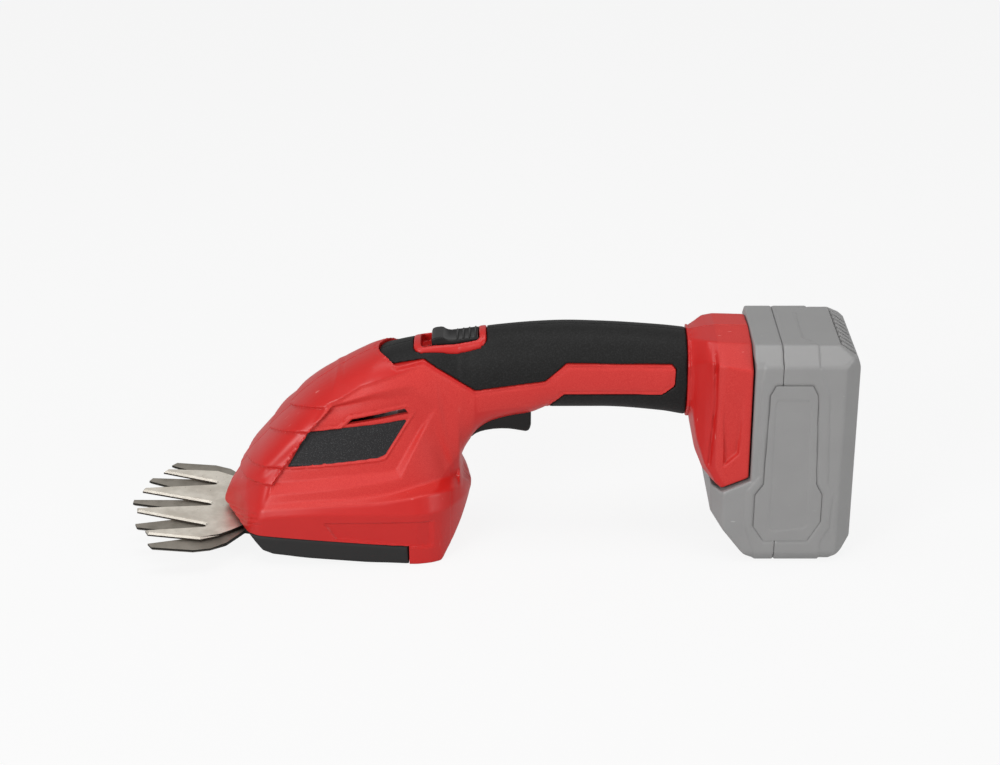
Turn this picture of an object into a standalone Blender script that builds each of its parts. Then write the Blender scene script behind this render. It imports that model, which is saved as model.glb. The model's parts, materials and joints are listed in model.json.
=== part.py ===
"""Cordless shrub shears: a one-hand grass and shrub trimmer with a slide-on battery pack.

The blades point to -X, the battery pack is at +X, and the tool stands on the heel of its
head and on the battery. All sizes are in millimetres; MM turns them into metres where a
mesh, an outline or a location is made.
"""
import math

import bmesh
import bpy
import numpy as np
from mathutils import Matrix, Vector

MM = 0.001

# General clearances and walls
GAP = 0.3                  # running and seating gap between two pieces
WALL = 2.4                 # wall of the moulded halves
GRIP_SKIN = 1.8            # thickness of the soft overmould

# The head: its blade plane rises to the front by this angle
HEAD_TILT = math.radians(4.2)
HEAD_X = -115.8            # where the tilted axes of the head stand
HEAD_Z = 11.3
SHOE_WIDTH = 84.0          # widest place of the head
HEEL_FRONT = -47.5         # the black base cover ends here
HEEL_REAR = -31.8

# Blades
FIXED_THICK = 2.0
MOVING_THICK = 1.8
BLADE_REACH = 83.5         # from the head axes to the middle tooth's tip
BLADE_WIDTH = 100.4
PIVOT_X = 3.0              # blade pivot, in the tilted axes
PIVOT_RADIUS = 3.3
TOOTH_TIP = 3.8            # width of a tooth at its tip
SLOT_RADIUS = 1.8
GRIND = 1.1                # width of the ground edge of a blade

# Crank and gears, in the tilted axes
CRANK_ARM = 16.0           # from the blade pivot to the crank axis
CRANK_THROW = 2.5          # eccentricity of the crank pin
CRANK_PIN = 2.5
SHAFT_RADIUS = 3.0
IDLER_AXLE = 2.5
MOTOR_SHAFT = 1.6
MODULE_IN = 1.0
PINION_TEETH = 10
IDLER_TEETH = 30
MODULE_OUT = 1.25
SPUR_TEETH = 10
DRIVE_TEETH = 32
MOTOR_BACK = 38.0          # from the crank axis to the motor axis
GEAR_FLOOR = 7.6           # underside of the gear base plate
PLATE = 2.0
DRIVE_THICK = 6.0
IDLER_THICK = 4.0
ROOF_THICK = 3.0

# Motor
MOTOR_RADIUS = 17.8
MOTOR_LENGTH = 50.0
END_CAP = 6.0

# Handle, receiver and battery
HANDLE_END = 98.0
RECEIVER_LENGTH = 32.0     # from the handle's end to the face that the pack meets
BATTERY_HALF = 37.5
BATTERY_TOP = 121.7
CELL_RADIUS = 9.15
CELL_LENGTH = 65.0
CELL_PITCH = 2 * CELL_RADIUS + 2.7
RECEIVER_BACK = HANDLE_END + RECEIVER_LENGTH
BATTERY_SEAM = RECEIVER_BACK + 15.0
BATTERY_REAR = RECEIVER_BACK + 2 * CELL_PITCH + 14.5
TOWER_HALF = 22.0
TOWER_TOP = BATTERY_TOP - 9.7
RAIL_X = RECEIVER_BACK - 6.5

# Trigger and lock-off slider
TRIGGER_X = -12.0
TRIGGER_Z = 74.0
TRIGGER_HALF = 8.0
PIN_RADIUS = 1.5
SLIDER_TILT = math.radians(-8.6)
SLIDER_X = -25.4
SLIDER_Z = 117.0
SLIDER_TRAVEL = 5.5
BUTTON_TRAVEL = 2.0

for old in list(bpy.data.objects):
    bpy.data.objects.remove(old, do_unlink=True)

parts = bpy.data.collections.new("shrub_shears")
tools = bpy.data.collections.new("cutters")
bpy.context.scene.collection.children.link(parts)
bpy.context.scene.collection.children.link(tools)


def finish(name, colour, roughness, metallic=0.0):
    """A material with one Principled BSDF."""
    made = bpy.data.materials.new(name)
    made.use_nodes = True
    shader = made.node_tree.nodes["Principled BSDF"]
    shader.inputs["Base Color"].default_value = (*colour, 1.0)
    shader.inputs["Roughness"].default_value = roughness
    shader.inputs["Metallic"].default_value = metallic
    return made


RED = finish("red_plastic", (0.60, 0.030, 0.025), 0.42)
RUBBER = finish("black_rubber", (0.022, 0.022, 0.023), 0.65)
BLACK = finish("black_plastic", (0.018, 0.018, 0.019), 0.45)
GREY = finish("grey_plastic", (0.30, 0.30, 0.31), 0.50)
STEEL = finish("ground_steel", (0.42, 0.39, 0.35), 0.35, 1.0)
ZINC = finish("zinc_steel", (0.55, 0.55, 0.56), 0.35, 1.0)
BRASS = finish("brass", (0.70, 0.48, 0.20), 0.30, 1.0)
COPPER = finish("copper_winding", (0.55, 0.22, 0.10), 0.40, 1.0)
NYLON = finish("white_nylon", (0.75, 0.73, 0.66), 0.50)
CELL_BLUE = finish("cell_sleeve", (0.04, 0.12, 0.35), 0.40)
WIRE_RED = finish("red_wire", (0.50, 0.02, 0.02), 0.45)
WIRE_BLACK = finish("black_wire", (0.02, 0.02, 0.02), 0.45)


def axes(name, at, turn=0.0, parent=None):
    """An empty that carries pieces; turn is about Y."""
    empty = bpy.data.objects.new(name, None)
    parts.objects.link(empty)
    empty.location = Vector(at) * MM
    empty.rotation_euler = (0.0, turn, 0.0)
    empty.parent = parent
    return empty


tool_frame = axes("shears_axes", (0, 0, 0))
head_axes = axes("head_axes", (HEAD_X, 0, HEAD_Z), HEAD_TILT, tool_frame)
DRIVE_X = PIVOT_X + CRANK_ARM
MOTOR_X = DRIVE_X + MOTOR_BACK
PINION_R = MODULE_IN * PINION_TEETH / 2
IDLER_R = MODULE_IN * IDLER_TEETH / 2
SPUR_R = MODULE_OUT * SPUR_TEETH / 2
DRIVE_R = MODULE_OUT * DRIVE_TEETH / 2
# The idler stands where the circles of the two meshes cross
to_drive = SPUR_R + DRIVE_R
to_motor = PINION_R + IDLER_R
along = (to_drive**2 - to_motor**2 + MOTOR_BACK**2) / (2 * MOTOR_BACK)
IDLER_X = DRIVE_X + along
IDLER_Y = math.sqrt(to_drive**2 - along**2)
pivot_axis = axes("blade_pivot_axis", (PIVOT_X, 0, 0), 0.0, head_axes)
crank_axis = axes("crank_axis", (DRIVE_X, 0, 0), 0.0, head_axes)
idler_axis = axes("idler_axis", (IDLER_X, IDLER_Y, 0), 0.0, head_axes)
motor_axis = axes("motor_axis", (MOTOR_X, 0, 0), 0.0, head_axes)
trigger_axis = axes("trigger_axis", (TRIGGER_X, 0, TRIGGER_Z), 0.0, tool_frame)
slider_axes = axes("slider_axes", (SLIDER_X, 0, SLIDER_Z), SLIDER_TILT, tool_frame)


def add(name, mesh, material=None, parent=tool_frame, at=(0, 0, 0)):
    """Put a mesh in the scene: a part if it has a material, or else a cutter."""
    made = bpy.data.objects.new(name, mesh)
    made.parent = parent
    made.location = Vector(at) * MM
    if material is None:
        tools.objects.link(made)
        made.hide_render = True
        made.display_type = "WIRE"
    else:
        parts.objects.link(made)
        mesh.materials.clear()
        mesh.materials.append(material)
    return made


# Swaps Y and Z, for shapes drawn as seen from the side
ACROSS = Matrix(((1, 0, 0), (0, 0, 1), (0, 1, 0))).to_4x4()


def smooth(mesh, angle=35.0):
    mesh.shade_smooth()
    mesh.set_sharp_from_angle(angle=math.radians(angle))


def loft_mesh(name, sections):
    """Skin rings of points, one after the other, and close both ends."""
    shape = bmesh.new()
    rings = [[shape.verts.new(Vector(p) * MM) for p in ring] for ring in sections]
    count = len(rings[0])
    for low, high in zip(rings, rings[1:]):
        for i in range(count):
            j = (i + 1) % count
            shape.faces.new((low[i], low[j], high[j], high[i]))
    shape.faces.new(list(reversed(rings[0])))
    shape.faces.new(rings[-1])
    bmesh.ops.recalc_face_normals(shape, faces=shape.faces)
    bmesh.ops.triangulate(shape, faces=[f for f in shape.faces if len(f.verts) == 4])
    mesh = bpy.data.meshes.new(name)
    shape.to_mesh(mesh)
    shape.free()
    return mesh


def plate_mesh(name, outlines, low, high, upright=False):
    """A flat outline with holes, from low to high along Z, or along Y if upright."""
    curve = bpy.data.curves.new(name, "CURVE")
    curve.dimensions = "2D"
    curve.fill_mode = "BOTH"
    curve.extrude = (high - low) / 2 * MM
    for outline in outlines:
        spline = curve.splines.new("POLY")
        spline.points.add(len(outline) - 1)
        for point, (x, y) in zip(spline.points, outline):
            point.co = (x * MM, y * MM, 0.0, 1.0)
        spline.use_cyclic_u = True
    holder = bpy.data.objects.new(name, curve)
    tools.objects.link(holder)
    graph = bpy.context.evaluated_depsgraph_get()
    mesh = bpy.data.meshes.new_from_object(holder.evaluated_get(graph))
    bpy.data.objects.remove(holder, do_unlink=True)
    bpy.data.curves.remove(curve)
    shape = bmesh.new()
    shape.from_mesh(mesh)
    bmesh.ops.remove_doubles(shape, verts=shape.verts, dist=1e-6)
    bmesh.ops.translate(shape, verts=shape.verts, vec=(0, 0, (low + high) / 2 * MM))
    if upright:
        bmesh.ops.transform(shape, matrix=ACROSS, verts=shape.verts)
    bmesh.ops.recalc_face_normals(shape, faces=shape.faces)
    shape.to_mesh(mesh)
    shape.free()
    return mesh


def circle(radius, sides=24, centre=(0.0, 0.0), start=0.0):
    steps = [start + 2 * math.pi * i / sides for i in range(sides)]
    return [(centre[0] + radius * math.cos(a), centre[1] + radius * math.sin(a)) for a in steps]


def rectangle(x0, x1, y0, y1):
    return [(x0, y0), (x1, y0), (x1, y1), (x0, y1)]


def hull(points):
    """The convex outline round a set of points."""
    ordered = sorted(set(points))
    sides = []
    for run in (ordered, ordered[::-1]):
        chain = []
        for p in run:
            while len(chain) > 1:
                (ax, ay), (bx, by) = chain[-2], chain[-1]
                if (bx - ax) * (p[1] - ay) - (by - ay) * (p[0] - ax) > 1e-9:
                    break
                chain.pop()
            chain.append(p)
        sides += chain[:-1]
    return sides


def box(name, x, y, z, parent=tool_frame, material=None):
    """A box between two values on each axis, a cutter if it has no material."""
    size = [(high - low) * MM for low, high in (x, y, z)]
    middle = [(high + low) / 2 * MM for low, high in (x, y, z)]
    shape = bmesh.new()
    bmesh.ops.create_cube(shape, size=1.0, matrix=Matrix.Translation(middle) @ Matrix.Diagonal((*size, 1.0)))
    mesh = bpy.data.meshes.new(name)
    shape.to_mesh(mesh)
    shape.free()
    return add(name, mesh, material, parent)


def rod_mesh(name, radius, low, high, sides=12, centre=(0.0, 0.0), across=False):
    """A cylinder along Z, or along Y if across, with its centre at (x, y) or (x, z)."""
    shape = bmesh.new()
    bmesh.ops.create_cone(shape, cap_ends=True, segments=sides, radius1=radius * MM, radius2=radius * MM,
                          depth=(high - low) * MM)
    bmesh.ops.translate(shape, verts=shape.verts, vec=Vector((*centre, (low + high) / 2)) * MM)
    if across:
        bmesh.ops.transform(shape, matrix=ACROSS, verts=shape.verts)
    bmesh.ops.recalc_face_normals(shape, faces=shape.faces)
    mesh = bpy.data.meshes.new(name)
    shape.to_mesh(mesh)
    shape.free()
    return mesh


def rod(name, radius, low, high, sides=12, centre=(0.0, 0.0), parent=tool_frame, across=False):
    """A round cutter."""
    return add(name, rod_mesh(name, radius, low, high, sides, centre, across), parent=parent)


def turned_mesh(name, profile, sides=24):
    """A profile of (radius, height) points from top to bottom, turned about Z."""
    mesh = bpy.data.meshes.new(name)
    points = [(r * MM, 0.0, z * MM) for r, z in profile]
    mesh.from_pydata(points, [(i, i + 1) for i in range(len(points) - 1)], [])
    holder = bpy.data.objects.new(name, mesh)
    tools.objects.link(holder)
    screw = holder.modifiers.new("turn", "SCREW")
    screw.steps = sides
    screw.render_steps = sides
    screw.use_merge_vertices = True
    screw.merge_threshold = 0.00001
    graph = bpy.context.evaluated_depsgraph_get()
    made = bpy.data.meshes.new_from_object(holder.evaluated_get(graph))
    bpy.data.objects.remove(holder, do_unlink=True)
    clean(made)
    return made


def clean(mesh, reach=0.000003):
    """Join points that a Boolean left on top of each other."""
    shape = bmesh.new()
    shape.from_mesh(mesh)
    bmesh.ops.remove_doubles(shape, verts=shape.verts, dist=reach)
    shape.to_mesh(mesh)
    shape.free()


def flatten(mesh, angle=0.0015, reach=0.000003):
    """Join triangles that lie in one plane, which also takes out points along straight edges."""
    shape = bmesh.new()
    shape.from_mesh(mesh)
    bmesh.ops.remove_doubles(shape, verts=shape.verts, dist=reach)
    bmesh.ops.dissolve_degenerate(shape, dist=reach, edges=shape.edges)
    bmesh.ops.dissolve_limit(shape, angle_limit=angle, verts=shape.verts, edges=shape.edges)
    bmesh.ops.triangulate(shape, faces=shape.faces)
    shape.to_mesh(mesh)
    shape.free()


def combine(target, *cutters, how="DIFFERENCE"):
    """Apply Boolean modifiers with the cutters, then remove the cutters."""
    bpy.context.view_layer.update()
    for cutter in cutters:
        change = target.modifiers.new("combine", "BOOLEAN")
        change.object = cutter
        change.operation = how
        change.solver = "EXACT"
    graph = bpy.context.evaluated_depsgraph_get()
    mesh = bpy.data.meshes.new_from_object(target.evaluated_get(graph))
    material = target.data.materials[0] if target.data.materials else None
    target.modifiers.clear()
    clean(mesh)
    target.data = mesh
    mesh.materials.clear()
    if material:
        mesh.materials.append(material)
    for cutter in cutters:
        bpy.data.objects.remove(cutter, do_unlink=True)
    return target


def wire(name, points, radius, material, parent=tool_frame, sides=1):
    """A round wire through points, as a poly curve with filled caps."""
    curve = bpy.data.curves.new(name, "CURVE")
    curve.dimensions = "3D"
    curve.bevel_depth = radius * MM
    curve.bevel_resolution = sides
    curve.use_fill_caps = True
    spline = curve.splines.new("POLY")
    spline.points.add(len(points) - 1)
    for point, at in zip(spline.points, points):
        point.co = (*(Vector(at) * MM), 1.0)
    made = bpy.data.objects.new(name, curve)
    made.parent = parent
    curve.materials.append(material)
    parts.objects.link(made)
    return made


def coil_points(radius, length, turns, per_turn=8):
    """Points along a helix about Z, from 0 to length."""
    count = int(turns * per_turn)
    angles = [2 * math.pi * turns * i / count for i in range(count + 1)]
    return [(radius * math.cos(a), radius * math.sin(a), length * i / count)
            for i, a in enumerate(angles)]


def rail(*points):
    """A value along X, straight between the given (x, value) points."""
    at, value = zip(*points)
    return lambda x: float(np.interp(x, at, value))


# Head rails along X: half-widths and heights of the lines that run along the moulding
head_bottom = rail((-149, 18.5), (-142, 16.5), (-134, 9), (-126, 7), (-48, 0), (HEEL_REAR, 0),
                   (-28, 7), (-23.8, 15), (-17.3, 32.5), (-16, 36))
head_rim = rail((-149, 1.5), (-142, 15), (-137, 26), (-132, 35), (-125, 38), (-45, 39.5),
                (HEEL_REAR, 38), (-24, 34), (-16, 27))
belt_height = rail((-149, 19.2), (-142, 19), (-134, 22), (-123, 28), (-90, 30.5), (-30, 30.8),
                   (-22, 36), (-16, 41))
belt_half = rail((-149, 2), (-142, 17), (-137, 28), (-132, 37), (-125, 40.5),
                 (-90, SHOE_WIDTH / 2), (-40, SHOE_WIDTH / 2 + 0.5), (-28, 40), (-20, 35), (-16, 32))
ledge_height = rail((-149, 20), (-142, 22), (-134, 27), (-123.6, 32.6), (-62.5, 38.2), (-36, 41.8),
                    (-15.5, 45.3))
ledge_half = rail((-149, 2), (-142, 16), (-137, 26.5), (-132, 35), (-123.6, 39.4), (-62, 40.2),
                  (-36, 38.5), (-24, 35), (-15.5, 30))
neck_height = rail((-149, 20.6), (-142, 24), (-134, 30), (-123.6, 36), (-62.5, 41), (-36, 43),
                   (-26, 41.5), (-16, 38.4))
neck_half = rail((-149, 1.8), (-142, 15), (-137, 25), (-132, 32), (-123.6, 37.5), (-90, 37),
                 (-62, 34.5), (-45, 30), (-36, 25.5), (-26, 17), (-20, 10), (-15.5, 6))
shoulder_height = rail((-149, 21), (-142, 29), (-134, 38), (-123, 48), (-111, 60), (-100, 68),
                       (-80, 77), (-62, 82), (-48, 84), (-38, 76), (-28, 50), (-22, 39.6), (-16, 37.9))
shoulder_half = rail((-149, 1.4), (-142, 11), (-134, 24), (-123, 31), (-111, 31.5), (-100, 31),
                     (-80, 29), (-62, 27), (-48, 23.5), (-38, 20), (-28, 15), (-20, 7), (-15.5, 4))
head_top = rail((-149, 21.5), (-147, 26.5), (-140, 41), (-134, 50.5), (-128, 58), (-122, 65.5),
                (-117, 71.5), (-111, 77.2), (-106, 82), (-95, 91), (-84, 98), (-73.7, 103.2),
                (-63, 107.5), (-52, 110.5), (-42, 108), (-34, 92), (-27, 58), (-22, 40.2), (-16, 37.7))
HEAD_STATIONS = (-149, -147, -143.5, -140, -136, -132, -127, -120, -112, -103, -93, -82, -71, -60,
                 -50, -42, -36, -30.5, -26, -22, -18.5, -16)
ARC = 5


def head_section(x, inset=0.0, arc=ARC):
    """One ring of the head at x, drawn in by inset, from the bottom round to the bottom."""
    step = 1.0
    rise = (head_top(x + step) - head_top(x - step)) / (2 * step)
    spread = (belt_half(x + step) - belt_half(x - step)) / (2 * step)
    drop = inset * math.sqrt(1 + rise * rise)
    draw = inset * math.sqrt(1 + min(abs(spread), 2.0) ** 2)
    top = head_top(x) - drop
    low = head_bottom(x) + inset
    half = [(head_rim(x) - draw, low),
            (belt_half(x) - draw, max(belt_height(x), low + 0.3)),
            (ledge_half(x) - draw, max(ledge_height(x), low + 0.6)),
            (neck_half(x) - draw, max(neck_height(x) - 0.4 * inset, low + 0.9))]
    shoulder_y = shoulder_half(x) - draw
    shoulder_z = min(shoulder_height(x), top - 0.2)
    for i in range(arc):
        a = math.pi / 2 * i / arc
        half.append((shoulder_y * math.cos(a) ** 0.85,
                     shoulder_z + (top - shoulder_z) * math.sin(a) ** 0.9))
    ring = [(x, 0.0, low)] + [(x, y, z) for y, z in half]
    ring.append((x, 0.0, top))
    ring += [(x, -y, z) for y, z in reversed(half)]
    return ring


# Handle: nearly elliptical sections between a top and a belly line
handle_top = rail((-66, 106.5), (-60, 108.5), (-45, 112.6), (-20, 117.4), (0, 120.3), (20, 121.9),
                  (35, 122.4), (55, 121.8), (75, 120.6), (100, 117.8), (114, 114))
handle_belly = rail((-66, 88), (-60, 80), (-40, 62), (-30, 46), (-25, 38), (-22, 39), (-20.5, 47.5),
                    (-16.5, 56), (-11.5, 63), (-4, 68), (6, 71), (16, 73), (26, 76.6), (53, 76.7),
                    (85, 74.3), (101, 72), (114, 86))
handle_half = rail((-66, 19), (-60, 20), (-40, 21), (-24, 19), (-16, 17.5), (0, 17.8), (20, 18.6),
                   (40, 19), (75, 18.6), (100, 19.4), (114, 17))
HANDLE_STATIONS = (-66, -58, -50, -42, -34, -28, -24, -21.5, -19, -15.5, -11, -5, 2, 10, 18, 26, 36,
                   48, 62, 76, 88, HANDLE_END)
FULLNESS = 2.3


def handle_section(x, inset=0.0, sides=16):
    top = handle_top(x) - inset
    belly = handle_belly(x) + inset
    half = handle_half(x) - inset
    middle = (top + belly) / 2
    ring = []
    for i in range(sides):
        a = -math.pi / 2 + 2 * math.pi * i / sides
        y = half * math.copysign(abs(math.cos(a)) ** (2 / FULLNESS), math.cos(a))
        z = (top - belly) / 2 * math.copysign(abs(math.sin(a)) ** (2 / FULLNESS), math.sin(a))
        ring.append((x, y, middle + z))
    return ring


def body_side(x, z):
    """Half-width of the outer skin at x and height z, above the head's ledge."""
    widths, heights = zip(*[(y, height) for _, y, height in head_section(x)[3:ARC + 6]])
    wide = float(np.interp(z, heights, widths))
    if x > HANDLE_STATIONS[0]:
        middle = (handle_top(x) + handle_belly(x)) / 2
        reach = min(abs(z - middle) / (handle_top(x) - middle), 1.0)
        wide = max(wide, handle_half(x) * (1 - reach ** FULLNESS) ** (1 / FULLNESS))
    return wide


# Receiver: faceted rings, each as (x, [(half-width, height), ...]) from bottom to top
RECEIVER_RINGS = (
    (HANDLE_END - 2.5, ((9, 71.5), (19.6, 84), (19.4, 106), (10.5, 116.6), (0, 119.0))),
    (HANDLE_END + 2.5, ((11, 69.5), (22.0, 82), (21.0, 107), (11.5, 118.0), (0, 119.4))),
    (HANDLE_END + 8.8, ((20, 49.0), (29.5, 58), (26.5, BATTERY_TOP - 9.7), (18.0, BATTERY_TOP - 2.1),
                        (0, BATTERY_TOP - 1.1))),
    (RECEIVER_BACK - 17.5, ((26, 44.6), (33.5, 52), (33.2, BATTERY_TOP - 9.1), (20.0, BATTERY_TOP - 1.9),
                            (0, BATTERY_TOP - 0.4))),
    (RECEIVER_BACK - 14.0, ((29, 42.6), (34.6, 46), (34.6, BATTERY_TOP - 9.5), (20.3, BATTERY_TOP - 2.1),
                            (0, BATTERY_TOP - 0.4))),
    (RECEIVER_BACK, ((30, 48.8), (35.0, 52), (35.0, BATTERY_TOP - 11.9), (20.5, BATTERY_TOP - 2.5),
                     (0, BATTERY_TOP - 0.6))),
)


def receiver_ring(x, half):
    ring = [(x, 0.0, half[0][1])] + [(x, y, z) for y, z in half]
    return ring + [(x, -y, z) for y, z in reversed(half[:-1])]


# Side outline of the red insert that the grip leaves bare, on both sides of the handle
RED_INSERT = [(-70, 109.4), (-63.5, 109.4), (-61.1, 108.0), (-57.9, 105.4), (-52, 106.0), (-39.6, 108.1),
              (-12.8, 91.0), (23.4, 96.9), (34.5, 107.0), (HANDLE_END - 8.2, 106.0),
              (HANDLE_END - 6.2, 103.3), (HANDLE_END - 6.8, 94.0), (HANDLE_END - 13.3, 88.7),
              (33.6, 88.6), (27.5, 82.0), (24.5, 74.0), (24.5, 30), (-70, 30)]
CORE_SIDES = 12
GRIP_OUTLINE = [(-63.5, 60), (HANDLE_END - 0.6, 60), (HANDLE_END - 0.6, 130), (-63.5, 130)]


def grown(outline, by):
    """An outline pushed out by a distance, corner by corner."""
    area = sum(a[0] * b[1] - b[0] * a[1] for a, b in zip(outline, outline[1:] + outline[:1]))
    side = 1.0 if area > 0 else -1.0
    made = []
    for before, here, after in zip(outline[-1:] + outline[:-1], outline, outline[1:] + outline[:1]):
        one = (Vector(here) - Vector(before)).normalized()
        two = (Vector(after) - Vector(here)).normalized()
        push = Vector((one.y + two.y, -one.x - two.x)) * side
        push /= max(1.0 + one.dot(two), 0.35)
        made.append((here[0] + by * push.x, here[1] + by * push.y))
    return made


def upright(name, outline, half, parent=tool_frame):
    return add(name, plate_mesh(name, [outline], -half, half, True), parent=parent)


def grip_zone(name, outline_gap):
    """Where the soft grip lies: the handle less the red insert, as seen from the side."""
    zone = upright(name, GRIP_OUTLINE, 40)
    insert = upright("insert", grown(RED_INSERT, outline_gap), 45)
    return combine(zone, insert)


def handle_solid(name, inset, first=-66, last=HANDLE_END, sides=16, every=1):
    stations = [x for x in HANDLE_STATIONS[::every] if first <= x < min(last, HANDLE_END)] + [last]
    return add(name, loft_mesh(name, [handle_section(x, inset, sides) for x in stations]))


def core_solid(inset):
    """The space under the soft grip, the same for the housing and for the grip."""
    return handle_solid("core", inset, sides=CORE_SIDES)


def side_pan(name, outline, depth, spread, side, wall=0.0):
    """A pan over the side of the head: its floor is sunk by depth and its walls slope out."""
    middle = [sum(values) / len(outline) for values in zip(*outline)]
    floor = grown(outline, wall)
    brim = grown(outline, wall + spread * (depth + PAN_CLEAR) / depth)
    rings = []
    for share in (0.05, 0.55, 1.0):
        spots = [(middle[0] + share * (x - middle[0]), middle[1] + share * (z - middle[1])) for x, z in floor]
        rings.append([(x, side * (body_side(x, z) - depth - wall), z) for x, z in spots])
    rings.append([(x, side * (body_side(x, z) + PAN_CLEAR - wall), z) for x, z in brim])
    rings.append([(x, side * 60.0, z) for x, z in brim])
    return add(name, loft_mesh(name, rings))


# Housing: outer body
housing = add("housing", loft_mesh("housing", [head_section(x) for x in HEAD_STATIONS]), RED)
receiver = add("receiver", loft_mesh("receiver", [receiver_ring(*ring) for ring in RECEIVER_RINGS]))
combine(housing, handle_solid("handle", 0.0), receiver, how="UNION")

# Housing: the inside, less the ribs and bosses that stay
INSIDE_STATIONS = HEAD_STATIONS[3:12:2] + HEAD_STATIONS[13:-3]
inside = add("inside", loft_mesh("inside", [head_section(x, WALL, 3) for x in INSIDE_STATIONS]))
handle_inside = handle_solid("handle_inside", GRIP_SKIN + GAP + WALL - 0.2, -58, RECEIVER_BACK - 17.6, 8, 2)
combine(inside, handle_inside, how="UNION")
# The sunk panel in the side of the head, and the same wall behind it
PANEL = [(-109.3, 45.7), (-83.1, 48.2), (-55.0, 50.3), (-45.8, 64.8), (-36.5, 80.0), (-46.3, 90.9),
         (-67.6, 88.7), (-89.2, 83.5), (-98.9, 73.6), (-113.1, 53.6)]
PANEL_DEPTH = 1.8
PANEL_SPREAD = 3.6         # how far the panel's sloped walls spread at the skin
PAN_CLEAR = 1.5            # how far a pan's cutter rises past the skin before it stands straight
for side in (-1, 1):
    combine(inside, side_pan("panel_wall", PANEL, PANEL_DEPTH, PANEL_SPREAD, side, WALL))
CASE_HULL = ((DRIVE_X, 0.0, DRIVE_R), (IDLER_X, IDLER_Y, IDLER_R), (MOTOR_X, 0.0, PINION_R + 9.0))
CASE_ROOM = 2.2            # from a gear's pitch circle to the inside of the case
CASE_TOP = GEAR_FLOOR + PLATE + 2 * GAP + DRIVE_THICK + 1.8 + IDLER_THICK + 1.0 + ROOF_THICK


def case_outline(extra):
    """The outline round the gears, at a distance past the inside of the case."""
    return hull([p for x, y, r in CASE_HULL for p in circle(r + CASE_ROOM + extra, 16, (x, y))])


MOTOR_FOOT = CASE_TOP + GAP
MOTOR_CROWN = MOTOR_FOOT + MOTOR_LENGTH
ribs = []
for rib_x, rib_low, rib_high in ((PIVOT_X + 8, GEAR_FLOOR + 1.0, CASE_TOP + 8),
                                 (MOTOR_X, GEAR_FLOOR + 1.0, MOTOR_CROWN - 6)):
    rib = box("rib", (rib_x - 1, rib_x + 1), (-45, 45), (rib_low, rib_high), head_axes)
    case_room = add("case_room", plate_mesh("case_room", [case_outline(PLATE + GAP)], 0, CASE_TOP + GAP),
                    parent=head_axes)
    motor_room = rod("motor_room", MOTOR_RADIUS + GAP, 0, 110, 24, parent=motor_axis)
    ribs.append(combine(rib, case_room, motor_room))
SWITCH = (-10.0, 22.0, 84.6, 99.0)          # x and z of the switch body
SWITCH_HALF = 8.0
for rib_x in (-6.4, 15.7):
    rib = box("rib", (rib_x - 1, rib_x + 1), (-20, 20), (SWITCH[2] - 1.5, SWITCH[3] + 1.5))
    room = box("room", (SWITCH[0] - GAP, SWITCH[1] + GAP), (-SWITCH_HALF - GAP, SWITCH_HALF + GAP),
               (SWITCH[2] - GAP, SWITCH[3] + GAP))
    ribs.append(combine(rib, room))
# Bosses with their self-tapping screws, driven in from the right-hand side
SCREW_SPOTS = ((-119, 53), (-99, 76), (-35, 20), (-25.6, 66), (38.4, 97.2), (HANDLE_END + 7.6, 84.5))
SCREW_HEAD = 3.0
SCREW_SHANK = 1.6
SCREW_SEAT = 7.0
SCREW_TIP = -12.0
BOSS = 4.4
for x, z in SCREW_SPOTS:
    ribs.append(rod("boss", BOSS, -45, 45, 8, (x, z), across=True))
pin_boss = rod("boss", PIN_RADIUS + 2.4, -20, 20, 12, (TRIGGER_X, TRIGGER_Z), across=True)
trigger_room = box("room", (TRIGGER_X - 6, TRIGGER_X + 6), (-TRIGGER_HALF - GAP, TRIGGER_HALF + GAP),
                   (TRIGGER_Z - 8, TRIGGER_Z + 8))
ribs.append(combine(pin_boss, trigger_room))
combine(inside, *ribs)
combine(housing, inside)

# Housing: openings
cuts = []
SHOE_TOP = 4.8             # top edge of the black base cover, in the tilted axes
cuts.append(box("notch", (-60, (HEEL_FRONT - HEAD_X) / math.cos(HEAD_TILT)), (-60, 60),
                (-30, SHOE_TOP + GAP), head_axes))
CAVITY_ROOF = BATTERY_TOP - 5.3
CAVITY_FRONT = RECEIVER_BACK - 18.0
cavity_outline = [(-31.5, 20), (31.5, 20), (31.5, CAVITY_ROOF - 9.4), (18.5, CAVITY_ROOF),
                  (-18.5, CAVITY_ROOF), (-31.5, CAVITY_ROOF - 9.4)]
cavity_mesh = plate_mesh("cavity", [[(-z, y) for y, z in cavity_outline]], CAVITY_FRONT, RECEIVER_BACK + 10)
turn_up = Matrix(((0, 0, 1), (0, 1, 0), (-1, 0, 0))).to_4x4()
cavity_mesh.transform(turn_up)
cavity = add("cavity", cavity_mesh)
RAIL_THICK = 2.4
RAIL_LOW = 52.0
RAIL_HIGH = BATTERY_TOP - 16.2
RAIL_EDGE = 18.4
for side in (-1, 1):
    edge = sorted((side * RAIL_EDGE, side * 40))
    rail_bar = box("rail_bar", (RAIL_X - RAIL_THICK / 2, RAIL_X + RAIL_THICK / 2), edge,
                   (RAIL_LOW, RAIL_HIGH))
    combine(cavity, rail_bar)
cuts.append(cavity)
VENT = [(-79.1, 77.4), (-76.3, 80.4), (-49.2, 85.6), (-48.1, 83.6)]
SHOE_PANEL = [(-86.3, 15.4), (-40.3, 10.4), (-35.3, 26.2), (-48.8, 26.3), (-92.0, 24.5)]
SHOE_PANEL_Y = SHOE_WIDTH / 2 - 2.0
RECEIVER_RECESS = [(RECEIVER_BACK - 15.2, 97.1), (RECEIVER_BACK - 3.8, 97.5), (RECEIVER_BACK - 5.6, 62.6),
                   (RECEIVER_BACK - 13.4, 56.0)]
RECEIVER_RECESS_Y = 33.6


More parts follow.
